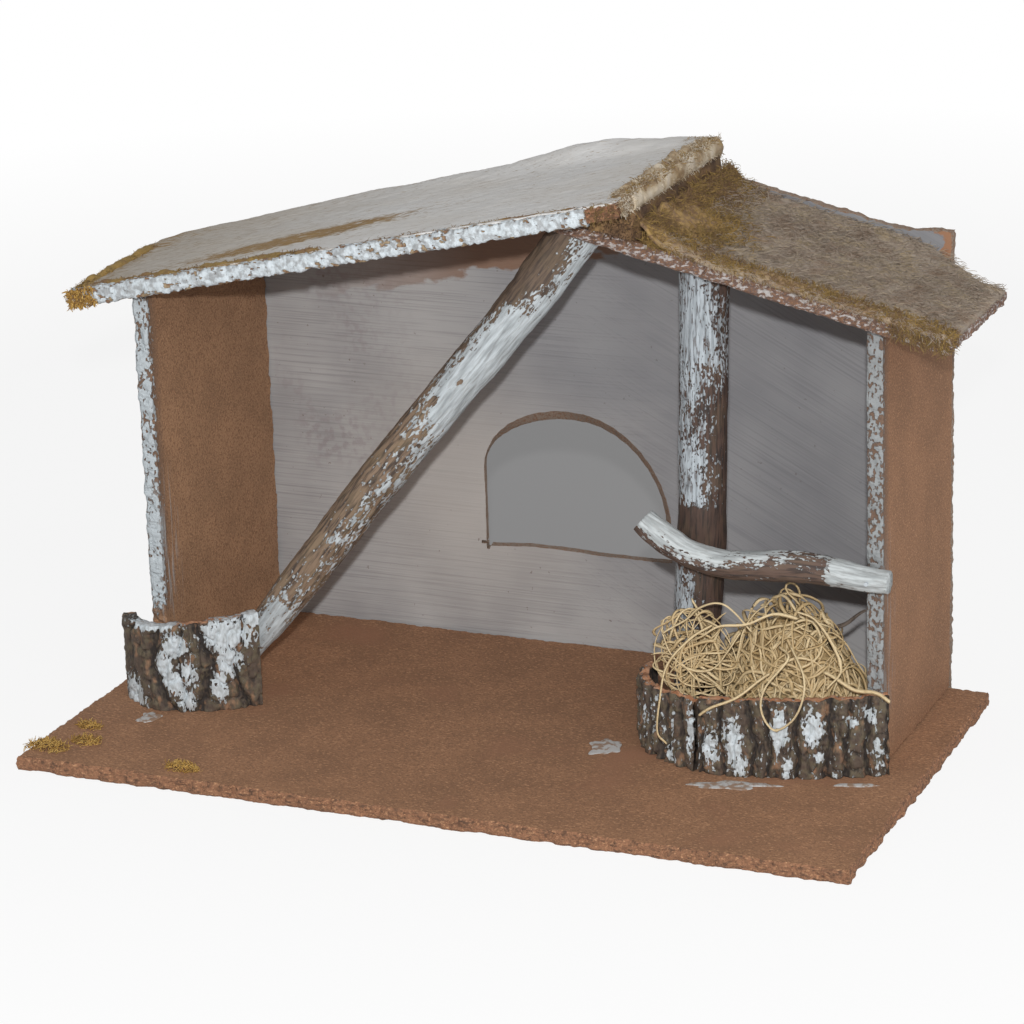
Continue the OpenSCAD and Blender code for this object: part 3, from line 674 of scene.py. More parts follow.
def branch(name, node, a, b, thick, shares, paint_rows, material, limit=None, knots=(), seed=0,
           bare=()):
    """Branch from a to b, bent by rows of how far along, how far across and how thick.
    paint_rows give how much paint is left along its upper side, front and lower side, and
    bare gives spots without paint: how far along, the angle round it and the radius"""
    sides, step, knot_radius = 60, 0.8, 4
    a, b = np.array(a, float), np.array(b, float)
    length = np.linalg.norm(b - a)
    across = unit(np.cross(b - a, [0, 1, 0]))
    shares = np.array(shares)
    count = int(length * (shares[-1, 0] - shares[0, 0]) / step)
    s = np.linspace(shares[0, 0], shares[-1, 0], count)
    window = max(5, count // 10) | 1
    bend = smooth_over(np.interp(s, shares[:, 0], shares[:, 1]), window)
    girth = smooth_over(np.interp(s, shares[:, 0], shares[:, 2]), window)
    middle = a + (b - a) * s[:, None] + across * (length * bend)[:, None]
    way = unit(np.gradient(middle, axis=0))
    side = unit(np.cross(way, [0, 1, 0]))
    up = np.cross(side, way)
    turn_grid, s_grid = np.meshgrid(np.linspace(0, 2 * math.pi, sides, endpoint=False), s)
    t, q = turn_grid.ravel(), s_grid.ravel()
    radius = thick / 2 * np.repeat(girth, sides)
    straight = np.c_[radius * np.cos(t), radius * np.sin(t), q * length]
    relief = 0.3 * lumps(straight * [1, 1, 0.12], 1.7, seed)
    relief += 0.2 * lumps(straight * [1, 1, 0.3], 0.9, seed + 1)
    relief += 0.5 * lumps(straight * [1, 1, 0.5], 9, seed + 2)

    def away_from(at, angle, drawn_out=1):
        return np.hypot((q - at) * length / drawn_out,
                        radius * ((t - angle + math.pi) % (2 * math.pi) - math.pi))

    for at, angle, high in knots:
        relief += high * np.exp(-(away_from(at, angle) / knot_radius) ** 2)
    reach = radius + relief - 0.25
    paint_rows = np.array(paint_rows)
    upper, front, lower = (np.interp(q, paint_rows[:, 0], paint_rows[:, k]) for k in (1, 2, 3))
    slope = (1 - np.cos(t)) / 2
    paint = np.where(slope < 0.5, upper + (front - upper) * slope * 2,
                     front + (lower - front) * (slope * 2 - 1))
    for at, angle, wide in bare:
        paint -= 1.3 * np.exp(-(away_from(at, angle, 1.6) / wide) ** 2)
    points = np.repeat(middle, sides, axis=0)
    points += (reach * np.cos(t))[:, None] * np.repeat(side, sides, axis=0)
    points += (reach * np.sin(t))[:, None] * np.repeat(up, sides, axis=0)
    if limit is not None:
        points[:, 2] = limit(points)
    points, faces = closed(points, sides,
                           [points[:sides].mean(axis=0), points[-sides:].mean(axis=0)])
    straight = np.r_[straight, [[0, 0, s[0] * length], [0, 0, s[-1] * length]]]
    paint = np.r_[paint, [paint[0], paint[-1]]]
    solid(name, "branch", [node], points, faces, [material], paint=paint, straight=straight * MM)


def bark_and_paint(name, deep, brown, fleck_size, olive_share, paint_tint, worn_streaks,
                   dark_from=9):
    """Bark with paint left in flecks along the branch, and thin streaks worn through the paint.
    dark_from is how many metres along the branch it turns dark, beyond its end if it doesn't"""
    material, tree = finish(name, 0.75)
    straight = feed(tree, "ShaderNodeAttribute", {}, "Vector", attribute_name="straight")
    paint = share_of(tree, "paint")
    streak = speckle(tree, 1.1, stretch=(1, 1, 9), detail=4, at=straight)
    colour = mixed(between(streak, 0.44, 0.62), brown, deep)
    patch = between(speckle(tree, 6, stretch=(1, 1, 2), detail=3, at=straight), 0.48, 0.62)
    colour = mixed(patch * olive_share, colour, bark_olive)
    along = measured(straight, "DOT_PRODUCT", (0, 0, 1))
    shaded_end = between(along, dark_from, dark_from + 0.04)
    colour = mixed(shaded_end * 0.55, colour, deep)
    broad = speckle(tree, 3.2 * fleck_size, stretch=(1, 1, 1.8), detail=3, at=straight)
    fleck = speckle(tree, fleck_size, stretch=(1, 1, 1.8), detail=8, at=straight)
    fleck = fleck + (broad - 0.5) * 0.8 + (streak - 0.5) * 0.3 + (paint - 0.5) * 0.62
    mask = between(fleck, 0.47, 0.545)
    scraped = between(speckle(tree, 0.9, stretch=(1, 1, 7), detail=6, at=straight), 0.53, 0.6)
    mask = mask * (1.0 - scraped * worn_streaks)
    shaded = between(speckle(tree, 1.6, stretch=(1, 1, 9), detail=5, at=straight), 0.42, 0.66)
    tint = mixed(shaded, paint_tint, [0.58 * part for part in paint_tint])
    colour = mixed(mask, colour, tint)
    painted(colour, mask * 0.6 + streak, 0.4)
    return material


pole_a = (-135.5, -0.5, 6)
pole_b = (40.5, 3.5, 226.2)
pole_thick = 19
pole_shares = [
    (-0.03, 0, 0.63), (0.1, 0.002, 0.68), (0.15, 0.002, 0.78), (0.21, 0.002, 0.87),
    (0.32, 0.002, 0.93), (0.44, 0.0035, 0.99), (0.56, 0.0015, 0.97), (0.66, -0.001, 0.99),
    (0.78, -0.003, 0.99), (0.87, -0.0045, 1.05), (0.94, -0.002, 1.08), (1.03, 0, 1.06)]
pole_paint = [
    (0, 0.3, 0.7, 0.8), (0.14, 0.2, 0.75, 0.8), (0.19, 0.2, 0.9, 0.6), (0.23, 0.1, 0.3, 0.35),
    (0.3, 0.05, 0.3, 0.4), (0.36, 0.0, 0.4, 0.5), (0.42, 0.05, 0.3, 0.4), (0.51, 0.05, 0.35, 0.5),
    (0.58, 0.1, 0.45, 0.7), (0.63, 0.3, 0.95, 1.1), (0.7, 0.25, 1.2, 1.2), (0.78, 0.15, 1.2, 1.1),
    (0.83, -0.2, 0.6, 1.0), (0.88, -0.3, 0.1, 0.8), (0.95, -0.3, 0.2, 0.85), (1, -0.3, 0.5, 1.0)]


def within_roof(points):
    """Heights of the points, kept between the base and the two roof boards"""
    beside = 200 * (points[:, 0] < meet_x - 6)
    top = np.minimum(under_left(points[:, 0]), under_right(points[:, 0]) + beside)
    return np.clip(points[:, 2], base_high[2], top)


branch("pole_branch", "leaning_pole", pole_a, pole_b, pole_thick, pole_shares, pole_paint,
       bark_and_paint("pole bark", deep=bark_dark, brown=bark_brown, fleck_size=1.1,
                      olive_share=0.3, paint_tint=(0.53, 0.575, 0.6), worn_streaks=0.2,
                      dark_from=0.17),
       limit=within_roof,
       knots=[(0.47, -1.2, 0.7), (0.67, -1.7, 0.5), (0.88, -0.4, 1.0)], seed=3,
       bare=[(0.632, -1.35, 1.5), (0.685, -1.75, 1.2)])

post_a = (79, 11.6, 6)
post_b = (85.5, 11.6, 214.1)
post_thick = 20.2
post_shares = [
    (-0.02, 0, 0.93), (0.12, 0.003, 0.94), (0.25, 0.001, 0.96), (0.38, -0.003, 0.98),
    (0.5, -0.006, 0.99), (0.62, -0.005, 1), (0.75, -0.003, 0.99), (0.88, -0.001, 1),
    (1.02, 0, 0.99)]
post_paint = [
    (0, 0.6, 0.5, -0.1), (0.32, 0.7, 0.55, -0.1), (0.39, 0.5, 0.2, -0.3), (0.42, -0.1, -0.3, -0.3),
    (0.48, -0.2, -0.3, -0.3), (0.5, 0.5, 0.75, 0.2), (0.54, 0.6, 0.85, 0.2), (0.64, 0.6, 0.6, 0.1),
    (0.7, 0.5, 0.55, 0.2), (0.76, 0.5, 0.7, 0.4), (0.82, 0.6, 1.1, 0.5), (0.9, 0.6, 1.0, 0.4),
    (0.94, 0.5, 0.75, 0.3), (1, 0.4, 0.7, 0.2)]
branch("post_branch", "upright_post", post_a, post_b, post_thick, post_shares, post_paint,
       bark_and_paint("post bark", deep=(0.02, 0.014, 0.012), brown=(0.07, 0.04, 0.029),
                      fleck_size=0.9, olive_share=0.1, paint_tint=(0.43, 0.475, 0.51),
                      worn_streaks=0.6),
       limit=within_roof, seed=9)

rail_a = (63.75, -5.66, 91)
rail_b = (167, -5.66, 91)
rail_thick = 12
rail_shares = [
    (0, 0.128, 0.85), (0.04, 0.094, 0.97), (0.1, 0.054, 1), (0.18, 0.012, 0.95),
    (0.28, -0.011, 0.97), (0.36, -0.016, 0.99), (0.46, -0.011, 1.03), (0.56, -0.001, 1.05),
    (0.68, 0.006, 1), (0.8, -0.004, 0.95), (0.9, -0.017, 0.9), (1, -0.02, 0.82)]
rail_paint = [
    (0, 1, 0.75, -0.2), (0.12, 1, 0.65, -0.2), (0.2, 1.1, 0.6, -0.3), (0.32, 1.05, 0.55, -0.3),
    (0.37, 0.85, 0.2, 0), (0.5, 0.9, 0.2, 0.15), (0.6, 0.55, 0.15, 0), (0.74, 0.45, 0.15, 0),
    (0.78, 0.9, 1.0, 0.5), (0.85, 1.0, 1.1, 0.6), (1, 1.0, 1.1, 0.7)]
branch("rail_branch", "crooked_rail", rail_a, rail_b, rail_thick, rail_shares, rail_paint,
       bark_and_paint("rail bark", deep=(0.04, 0.027, 0.023), brown=(0.115, 0.072, 0.054),
                      fleck_size=0.9, olive_share=0.1, paint_tint=(0.53, 0.565, 0.57),
                      worn_streaks=0.2),
       seed=14)

# The slabs of bark
# One hides the pole's foot at the left corner and two make the manger. Each is a slab prised
# off a log, with deep furrows between its plates, white paint on the plates and an orange rim.
rim_orange = (0.40, 0.175, 0.085)
plate_brown = (0.088, 0.062, 0.046)
furrow_black = (0.022, 0.017, 0.015)

bark, tree = finish("furrowed bark", 0.85)
paint, raised, cut = (share_of(tree, label) for label in ("paint", "raised", "cut"))
rough = speckle(tree, 1.2, stretch=(1, 1, 2.6), detail=6)
swell = raised + (rough - 0.5) * 2.5
colour = mixed(between(speckle(tree, 3.5, detail=4), 0.45, 0.6), plate_brown, (0.12, 0.096, 0.062))
colour = mixed(between(swell, 0.15, 0.95), furrow_black, colour)
rusty = between(speckle(tree, 4, stretch=(1, 1, 1.6), detail=6), 0.56, 0.7)
colour = mixed(rusty * 0.75, colour, (0.33, 0.185, 0.105))
fleck = speckle(tree, 1.8, stretch=(1, 1, 1.4), detail=8) + (paint - 0.5) * 0.62
mask = between(fleck + (rough - 0.5) * 0.95, 0.485, 0.53)
tint = mixed(between(rough, 0.42, 0.66), white_paint, (0.4, 0.43, 0.44))
colour = mixed(mask, colour, tint)
rim_tint = mixed(between(speckle(tree, 2.4, detail=4), 0.4, 0.62), rim_orange, (0.5, 0.28, 0.17))
rim_mask = cut * (1.0 - mask * 0.9)
painted(mixed(rim_mask, colour, rim_tint), rough + mask, 0.6)


def slab_line(a, b):
    """Start, run, length and outward direction of the straight line that a slab bows out from"""
    run = np.subtract(b, a)
    length = np.linalg.norm(run)
    return np.array(a, float), run, length, np.array([run[1], -run[0]]) / length


def bark_slab(name, node, a, b, bulge, lean, thick, tops, furrows, daubs, seed, base_paint=0.0,
              rim_from=-1.0):
    """Upright slab from a to b, bowed out between them, with tops its heights at a and b. Each
    furrow is its share along at the foot, the middle and the top, and its width. Each daub of
    paint is where it lies along and up, its spread along and up, and how strong it is"""
    step = 0.5
    a, run, length, out = slab_line(a, b)
    s = np.linspace(0, 1, int(length * 1.15 / step))
    q = s ** lean
    inner = a + run * s[:, None] + out * (bulge * 4 * q * (1 - q))[:, None]
    way = unit(np.gradient(inner, axis=0))
    face = np.c_[way[:, 1], -way[:, 0]]
    line = np.c_[s * length, 0 * s, 0 * s]
    top = tops[0] + (tops[1] - tops[0]) * s + 1.2 * lumps(line, 9, seed)
    top += 0.8 * lumps(line, 2.5, seed + 1)
    section = ([(h, 1.0, 0.0) for h in np.linspace(0, 1, int(max(tops) / step))]
               + [(1.0, d, 1.0) for d in (0.85, 0.65, 0.45, 0.25, 0.05)]
               + [(h, 0.0, 0.0) for h in (0.97, 0.75, 0.5, 0.25, 0)])
    high, depth, rim = (np.array(column) for column in zip(*section))
    count = len(section)
    grid_s, grid_k = np.meshgrid(np.arange(len(s)), np.arange(count), indexing="ij")
    i, k = grid_s.ravel(), grid_k.ravel()
    along, h = s[i], high[k]
    z = base_high[2] + top[i] * h
    spot = np.c_[along * length, 0 * along, z]
    wander = 1.6 * lumps(spot * [0.5, 1, 1], 9, seed + 5) + 0.9 * lumps(spot, 3.5, seed + 6)
    relief = np.ones(len(i))
    for foot, middle, head, width in furrows:
        line_s = np.interp(h, [0, 0.5, 1], [foot, middle, head])
        gap = np.abs((along - line_s) * length + wander)
        relief = np.minimum(relief, np.clip(gap / width, 0, 1) ** 0.7)
    crack = np.abs(lumps(spot * [1, 1, 0.45], 3.2, seed + 2))
    relief *= np.clip(0.5 + 2.5 * crack, 0, 1)
    craggy = 0.9 * lumps(spot * [1, 1, 0.5], 2.6, seed + 3) + 0.7 * lumps(spot, 1.3, seed + 4)
    outer = depth[k] >= 1
    flared = thick - 2.0 + 3.0 * relief + 0.7 * craggy - 0.6 * np.clip((h - 0.96) / 0.04, 0, 1)
    reach = np.where(outer, flared, (thick - 1.2 + 1.6 * relief) * depth[k])
    points = np.c_[inner[i] + face[i] * reach[:, None], z]
    chips = 0.6 * lumps(np.c_[spot[:, 0], 3.0 * k, spot[:, 2]], 1.6, seed + 7)
    points[:, 2] = np.maximum(z + np.where(rim[k] > 0, chips, 0), base_high[2])
    walls = np.concatenate([band(row * count, count) for row in range(len(s) - 1)])
    caps = []
    for first, end in ((0, 0), ((len(s) - 1) * count, -1)):
        ring = points[first:first + count]
        flat = np.c_[(ring[:, :2] - inner[end]) @ face[end], ring[:, 2]]
        cap = tessellate_polygon([[Vector((*place, 0)) for place in flat]])
        caps.append(first + turned_to(np.array(cap), flat, end == 0))
    cover = np.full(len(i), base_paint)
    for at, up, wide, tall, strong in daubs:
        daub = strong * np.exp(-((along - at) / wide) ** 2 - ((h - up) / tall) ** 2)
        cover = np.maximum(cover, daub)
    cover = np.where(depth[k] > 0, cover - 0.8 * np.clip(0.5 - relief, 0, 1) * (1 - rim[k]), 0)
    fresh = rim[k] * np.clip((along - rim_from) / 0.06, 0, 1)
    solid(name, "bark", [node], points, [walls, *caps], [bark],
          raised=np.where(outer, relief, 0.3), paint=cover, cut=fresh)


corner_furrows = [(0.13, 0.1, 0.12, 1.5), (0.42, 0.28, 0.33, 3.2), (0.60, 0.71, 0.60, 3.6),
                  (0.52, 0.48, 0.50, 0.9), (0.90, 0.84, 0.93, 1.6)]
corner_daubs = [
    (0.12, 0.12, 0.11, 0.20, 1.15), (0.46, 0.76, 0.10, 0.16, 1.15), (0.38, 0.52, 0.07, 0.20, 1.15),
    (0.44, 0.34, 0.08, 0.16, 1.1), (0.54, 0.46, 0.08, 0.16, 0.95), (0.52, 0.16, 0.07, 0.18, 1.05),
    (0.80, 0.84, 0.18, 0.20, 1.2), (0.80, 0.56, 0.10, 0.22, 1.0), (0.74, 0.30, 0.06, 0.22, 1.0),
    (0.30, 1.0, 0.20, 0.06, 1.2), (0.97, 0.96, 0.07, 0.12, 1.2)]
bark_slab("corner_bark_slab", "corner_bark", (-166, -13.5), (-112, -9), bulge=15, lean=0.75,
          thick=5, tops=(36, 41), furrows=corner_furrows, daubs=corner_daubs, seed=21,
          rim_from=0.14)

front_furrows = [(0.0, 0.02, 0.0, 1.2), (0.13, 0.11, 0.13, 1.3), (0.27, 0.29, 0.26, 2.6),
                 (0.36, 0.37, 0.35, 1.5), (0.53, 0.51, 0.53, 1.6), (0.68, 0.69, 0.67, 2.8),
                 (0.78, 0.77, 0.79, 1.4), (0.88, 0.87, 0.88, 1.8), (0.97, 0.98, 0.97, 1.4)]
front_daubs = [
    (0.06, 0.35, 0.07, 0.35, 0.72), (0.19, 0.45, 0.06, 0.45, 0.9), (0.22, 0.15, 0.05, 0.2, 0.85),
    (0.43, 0.62, 0.055, 0.28, 1.1), (0.47, 0.14, 0.03, 0.2, 0.9), (0.60, 0.64, 0.065, 0.24, 1.1),
    (0.63, 0.28, 0.05, 0.14, 0.7), (0.81, 0.72, 0.035, 0.1, 0.9), (0.90, 0.76, 0.04, 0.12, 0.9),
    (0.95, 0.3, 0.05, 0.3, 0.6)]
front_line = ((93.0, -20.3), (164, 0.7), 5)
bark_slab("manger_front_slab", "manger_front_bark", *front_line, lean=1, thick=4, tops=(32, 34),
          furrows=front_furrows, daubs=front_daubs, seed=22, base_paint=0.24)

side_furrows = [(s + 0.02, s, s - 0.01, 1.5) for s in (0.1, 0.24, 0.36, 0.5, 0.62, 0.74, 0.88)]
side_daubs = [(s, 0.5, 0.025, 0.5, 0.62) for s in (0.05, 0.3, 0.43, 0.56, 0.68, 0.8)]
side_daubs += [(0.97, 0.6, 0.04, 0.4, 0.9), (0.75, 0.15, 0.05, 0.15, 0.8)]
side_line = ((62, 13), (92, -19), 9)
bark_slab("manger_left_slab", "manger_left_bark", *side_line, lean=0.75, thick=4, tops=(30, 30),
          furrows=side_furrows, daubs=side_daubs, seed=23, base_paint=0.22)

# The straw in the manger
# Wood wool: long, curly, flat shavings of pale wood, teased out and heaped behind the bark so
# that loops stand up over it and a few strands hang over the rim.
straw_low, straw_high = node_box("straw_heap")
straw_foot = np.array([120.5, 9.5, straw_low[2]])
straw_half = np.array([39, 24, straw_high[2] - straw_low[2] - 1.5])
heap_power = 1.6
post_place = np.array([81, 11.6])
post_clear = 11.4
wall_inner_x, wall_front_y = 154.6, 1.5
rim_height = 39
straw_pale = (0.66, 0.525, 0.315)
straw_gold = (0.47, 0.335, 0.165)
straw_shade = (0.33, 0.225, 0.105)
chance = np.random.default_rng(12)


def tubes(name, slot, nodes, paths, radii, material, sides=4, flat=1.0, **shares):
    """One mesh of many thin round or flat strands: paths is strands by points by 3"""
    paths = np.asarray(paths, float)
    strands, count, _ = paths.shape
    radii = np.broadcast_to(radii, (strands, count)).copy()
    radii[:, 0] *= 0.5
    radii[:, -1] *= 0.35
    way = unit(np.gradient(paths, axis=1))
    aside = unit(chance.normal(size=(strands, 1, 3)))
    side = unit(np.cross(way, np.broadcast_to(aside, way.shape)))
    up = np.cross(side, way)
    turn = np.arange(sides) * 2 * math.pi / sides
    ring = (side[:, :, None, :] * np.cos(turn)[None, None, :, None]
            + up[:, :, None, :] * flat * np.sin(turn)[None, None, :, None])
    points = (paths[:, :, None, :] + ring * radii[:, :, None, None]).reshape(-1, 3)
    start = (np.arange(strands) * count * sides)[:, None, None]
    row = (np.arange(count - 1) * sides)[None, :, None]
    k = np.arange(sides)[None, None, :]
    near, beside = start + row + k, start + row + (k + 1) % sides
    walls = np.stack([near, beside, beside + sides, near + sides], axis=-1).reshape(-1, 4)
    first = start[:, 0] + np.arange(sides)[None, :]
    faces = [walls, first[:, ::-1], first + (count - 1) * sides]
    spread = {label: np.repeat(values, count * sides) for label, values in shares.items()}
    solid(name, slot, nodes, points, faces, [material], **spread)


def behind(spot, a, b, bulge):
    """Draws points below the rim back behind a slab of bark that runs from a to b"""
    clear = 1.2
    a, run, length, out = slab_line(a, b)
    from_a = spot[:, :2] - a
    s = np.clip(from_a @ run / length ** 2, 0, 1)
    past = from_a @ out - (bulge * 4 * s * (1 - s) - clear)
    past = np.where((spot[:, 2] < rim_height) & (past > 0), past, 0)
    held = spot.copy()
    held[:, :2] -= out * past[:, None]
    return held


def in_manger(spot):
    """Keeps strands off the base, the bark, the post and the right wall"""
    held = behind(behind(spot, *front_line), *side_line)
    inside = held[:, 1] > wall_front_y - 1
    held[:, 0] = np.where(inside, np.minimum(held[:, 0], wall_inner_x), held[:, 0])
    from_post = held[:, :2] - post_place
    gap = np.linalg.norm(from_post, axis=1)
    push = np.clip(post_clear - gap, 0, None)
    held[:, :2] += unit(from_post) * push[:, None]
    held[:, 2] = np.maximum(held[:, 2], base_high[2] + 1)
    return held


def curls(starts, ways, count, step, tightness, unrest, hold):
    """Paths that curl freely from each start. hold draws each new point back where it belongs"""
    spot, way = np.array(starts, float), unit(ways)
    axis = unit(chance.normal(size=spot.shape))
    bend = tightness * chance.uniform(0.4, 1.6, size=(len(spot), 1))
    path = [spot.copy()]
    for _ in range(count - 1):
        axis = unit(axis + unrest * chance.normal(size=axis.shape))
        way = unit(way + np.cross(axis, way) * bend * step)
        spot = spot + way * step
        held = hold(spot)
        way = unit(way + (held - spot) * 0.6 / step)
        spot = held
        path.append(spot.copy())
    return np.stack(path, axis=1)


straw, tree = finish("wood wool", 0.55)
tint = share_of(tree, "tint")
grain = speckle(tree, 0.5, stretch=(4, 1, 1), detail=2)
colour = mixed(tint, straw_gold, straw_pale)
painted(mixed(between(grain, 0.55, 0.7), colour, straw_gold), grain, 0.12)

straw_dark, tree = finish("straw in the shade", 0.8)
grain = speckle(tree, 1.6, stretch=(3, 1, 1), detail=4)
painted(mixed(between(grain, 0.4, 0.62), straw_shade, straw_gold), grain, 1.2)


def heap_reach(directions):
    """How far the heap reaches from the middle of its foot in each direction"""
    scaled = np.abs(directions) / straw_half
    return 1 / np.sum(scaled ** heap_power, axis=1) ** (1 / heap_power)


def pointing(turn, rise):
    """Directions at angles round from the right and up"""
    return np.c_[np.cos(turn) * np.cos(rise), np.sin(turn) * np.cos(rise), np.sin(rise)]


core_sides, core_rows, core_share = 72, 40, 0.84
around, rise = np.meshgrid(np.linspace(0, 2 * math.pi, core_sides, endpoint=False),
                           np.linspace(0.02, 1.52, core_rows))
around, rise = around.ravel(), rise.ravel()
ray = pointing(around, rise)
core = straw_foot + ray * (core_share * heap_reach(ray))[:, None]
core += ray * (2.5 * lumps(core, 8, 61) + 1.2 * lumps(core, 3, 62))[:, None]
core = in_manger(core)
core_skin = closed(core, core_sides, [straw_foot, core[-core_sides:].mean(axis=0)])
solid("straw_core", "straw", ["straw_heap"], *core_skin, [straw_dark])

strand_count = 420
turns = chance.uniform(0, 2 * math.pi, strand_count)
rises = np.arcsin(chance.uniform(0.1, 1, strand_count))
ray = pointing(turns, rises)
layer = chance.uniform(0.82, 1.03, strand_count)


def in_heap(spot):
    """Draws strands back to their own layer of the heap, within the manger"""
    from_foot = spot - straw_foot
    distance = np.linalg.norm(from_foot, axis=1)
    pull = np.clip(heap_reach(unit(from_foot)) * layer - distance, -1.5, 1.5) * 0.4
    return in_manger(spot + unit(from_foot) * pull[:, None])


strand_paths = curls(straw_foot + ray * (heap_reach(ray) * layer)[:, None],
                     np.cross(ray, unit(chance.normal(size=ray.shape))),
                     count=58, step=1.25, tightness=0.15, unrest=0.25, hold=in_heap)
tubes("straw_strands", "straw", (), strand_paths, chance.uniform(0.45, 1.0, (strand_count, 1)),
      straw, flat=0.4, tint=chance.uniform(0, 1, strand_count))

loose_count = 34
loose_middle, loose_half = np.array([86, -8, 50]), np.array([17, 7, 18])


def in_loose_loops(spot):
    """Keeps the loose loops at the left of the heap in front of the post"""
    from_middle = (spot - loose_middle) / loose_half
    far = np.clip(np.linalg.norm(from_middle, axis=1) - 1, 0, 1)
    return in_manger(spot - from_middle * loose_half * (0.25 * far)[:, None])


loose_starts = loose_middle + chance.normal(size=(loose_count, 3)) * loose_half * 0.6
loose_paths = curls(loose_starts, chance.normal(size=(loose_count, 3)),
                    count=60, step=1.4, tightness=0.09, unrest=0.14, hold=in_loose_loops)
tubes("straw_loose_loops", "straw", (), loose_paths, chance.uniform(0.35, 0.75, (loose_count, 1)),
      straw, flat=0.45, tint=chance.uniform(0.3, 1, loose_count))

stray_strands = [
    [(112, -12, 64), (101.4, -15, 75), (91.7, -15, 74), (84, -14, 66), (75, -15, 60)],
    [(96, -14, 66), (87.8, -19, 60), (79.5, -23, 50), (77.5, -26.5, 36), (76.5, -27, 22),
     (80, -26, 17)],
    [(124, -14, 60), (129.8, -20, 57), (122, -25, 46), (120.4, -26, 37), (125.4, -25.5, 29.5),
     (133, -24.5, 34), (137.2, -24, 43), (136, -20, 51), (128, -12, 60)],
    [(140, -6, 48), (150.8, -7, 43), (160, -7, 42.5), (168, -8, 39)],
    [(84, -12, 56), (92.1, -18, 61), (100.6, -18, 67.5), (111.2, -16, 69), (121, -12, 72),
     (130, -8, 70)],
    [(120, -14, 48), (112.2, -22, 42), (102.4, -25.5, 37), (94, -26, 31)],
    [(74, -14, 62), (78, -15, 52), (86, -16, 47), (97, -17, 49), (104, -17, 57), (108, -14, 64)],
    [(130, -10, 74), (138, -9, 70), (145, -8, 60), (148, -9, 50), (143, -12, 43)]]


def through(points, count):
    """Smooth path of count points through a few points"""
    points = np.array(points, float)
    ends = np.r_[[2 * points[0] - points[1]], points, [2 * points[-1] - points[-2]]]
    at = np.linspace(0, len(points) - 1 - 1e-6, count)
    k, t = at.astype(int), (at % 1)[:, None]
    a, b, c, d = (ends[k + n] for n in range(4))
    return 0.5 * (2 * b + (c - a) * t + (2 * a - 5 * b + 4 * c - d) * t ** 2
                  + (3 * b - a - 3 * c + d) * t ** 3)


stray_points = 70
stray_paths = np.stack([through(points, stray_points) for points in stray_strands])
stray_paths[:, :, 2] += 0.6 * np.sin(np.linspace(0, 9, stray_points))
tubes("straw_stray_strands", "straw", (), stray_paths,
      chance.uniform(0.6, 0.95, (len(stray_paths), 1)), straw, flat=0.5,
      tint=chance.uniform(0.7, 1, len(stray_paths)))

stalk_low, stalk_high = node_box("dry_stalk")
twig, tree = finish("dry stalk", 0.85)
grain = speckle(tree, 0.8, stretch=(5, 1, 1), turn=(0, math.radians(-35), 0), detail=3)
painted(mixed(between(grain, 0.4, 0.62), (0.14, 0.11, 0.09), (0.06, 0.045, 0.035)), grain, 0.3)
stalk_a = np.array([stalk_low[0] + 1, (stalk_low[1] + stalk_high[1]) / 2, stalk_low[2] + 1])
stalk_b = np.array([stalk_high[0] - 0.5, stalk_a[1], stalk_high[2] - 0.5])
stalk_s = np.linspace(0, 1, 24)
stalk_path = stalk_a + (stalk_b - stalk_a) * stalk_s[:, None]
stalk_path += np.c_[0 * stalk_s, 0.4 * np.sin(6 * stalk_s), 0.5 * np.sin(9 * stalk_s)]
tubes("stalk_twig", "branch", ["dry_stalk"], stalk_path[None], (1.15 - 0.6 * stalk_s)[None], twig,
      sides=10)

# The moss
# Dried moss, glued on in handfuls: a thin combed mat over the right roof board, thicker along
# its front edge, golden clumps along the left board's edges, and a wad in the ridge's wedge.
moss_gold = (0.385, 0.243, 0.075)
moss_olive = (0.27, 0.180, 0.058)
moss_brown = (0.205, 0.120, 0.060)
moss_dull = (0.40, 0.335, 0.275)


def moss_finish(name, low, middle, high):
    """Dried moss in three colours, mixed by the tint of each fibre"""
    material, tree = finish(name, 0.9)
    tint = share_of(tree, "tint")
    patch = speckle(tree, 12, detail=3)
    shade = tint + (patch - 0.5) * 1.8
    colour = mixed(between(shade, 0.05, 0.5), low, middle)
    colour = mixed(between(shade, 0.5, 1.0), colour, high)
    gold = share_of(tree, "gold")
    golden = mixed(between(speckle(tree, 3, detail=4), 0.38, 0.62), moss_brown, moss_gold)
    colour = mixed(gold * 0.9, colour, golden)
    painted(colour, speckle(tree, 0.8, stretch=(2, 1, 1), detail=3), 0.8)
    return material


dull_moss = moss_finish("dull combed moss", (0.30, 0.215, 0.150), moss_dull, (0.46, 0.355, 0.22))
brown_moss = moss_finish("brown moss", (0.085, 0.048, 0.028), (0.2, 0.115, 0.055),
                         (0.36, 0.23, 0.09))
golden_moss = moss_finish("golden moss", moss_brown, moss_olive, moss_gold)
pale_moss = moss_finish("pale moss", (0.31, 0.215, 0.120), (0.58, 0.485, 0.355), (0.76, 0.69, 0.59))
bright_moss = moss_finish("bright moss", (0.27, 0.145, 0.045), (0.5, 0.285, 0.06),
                          (0.66, 0.43, 0.13))


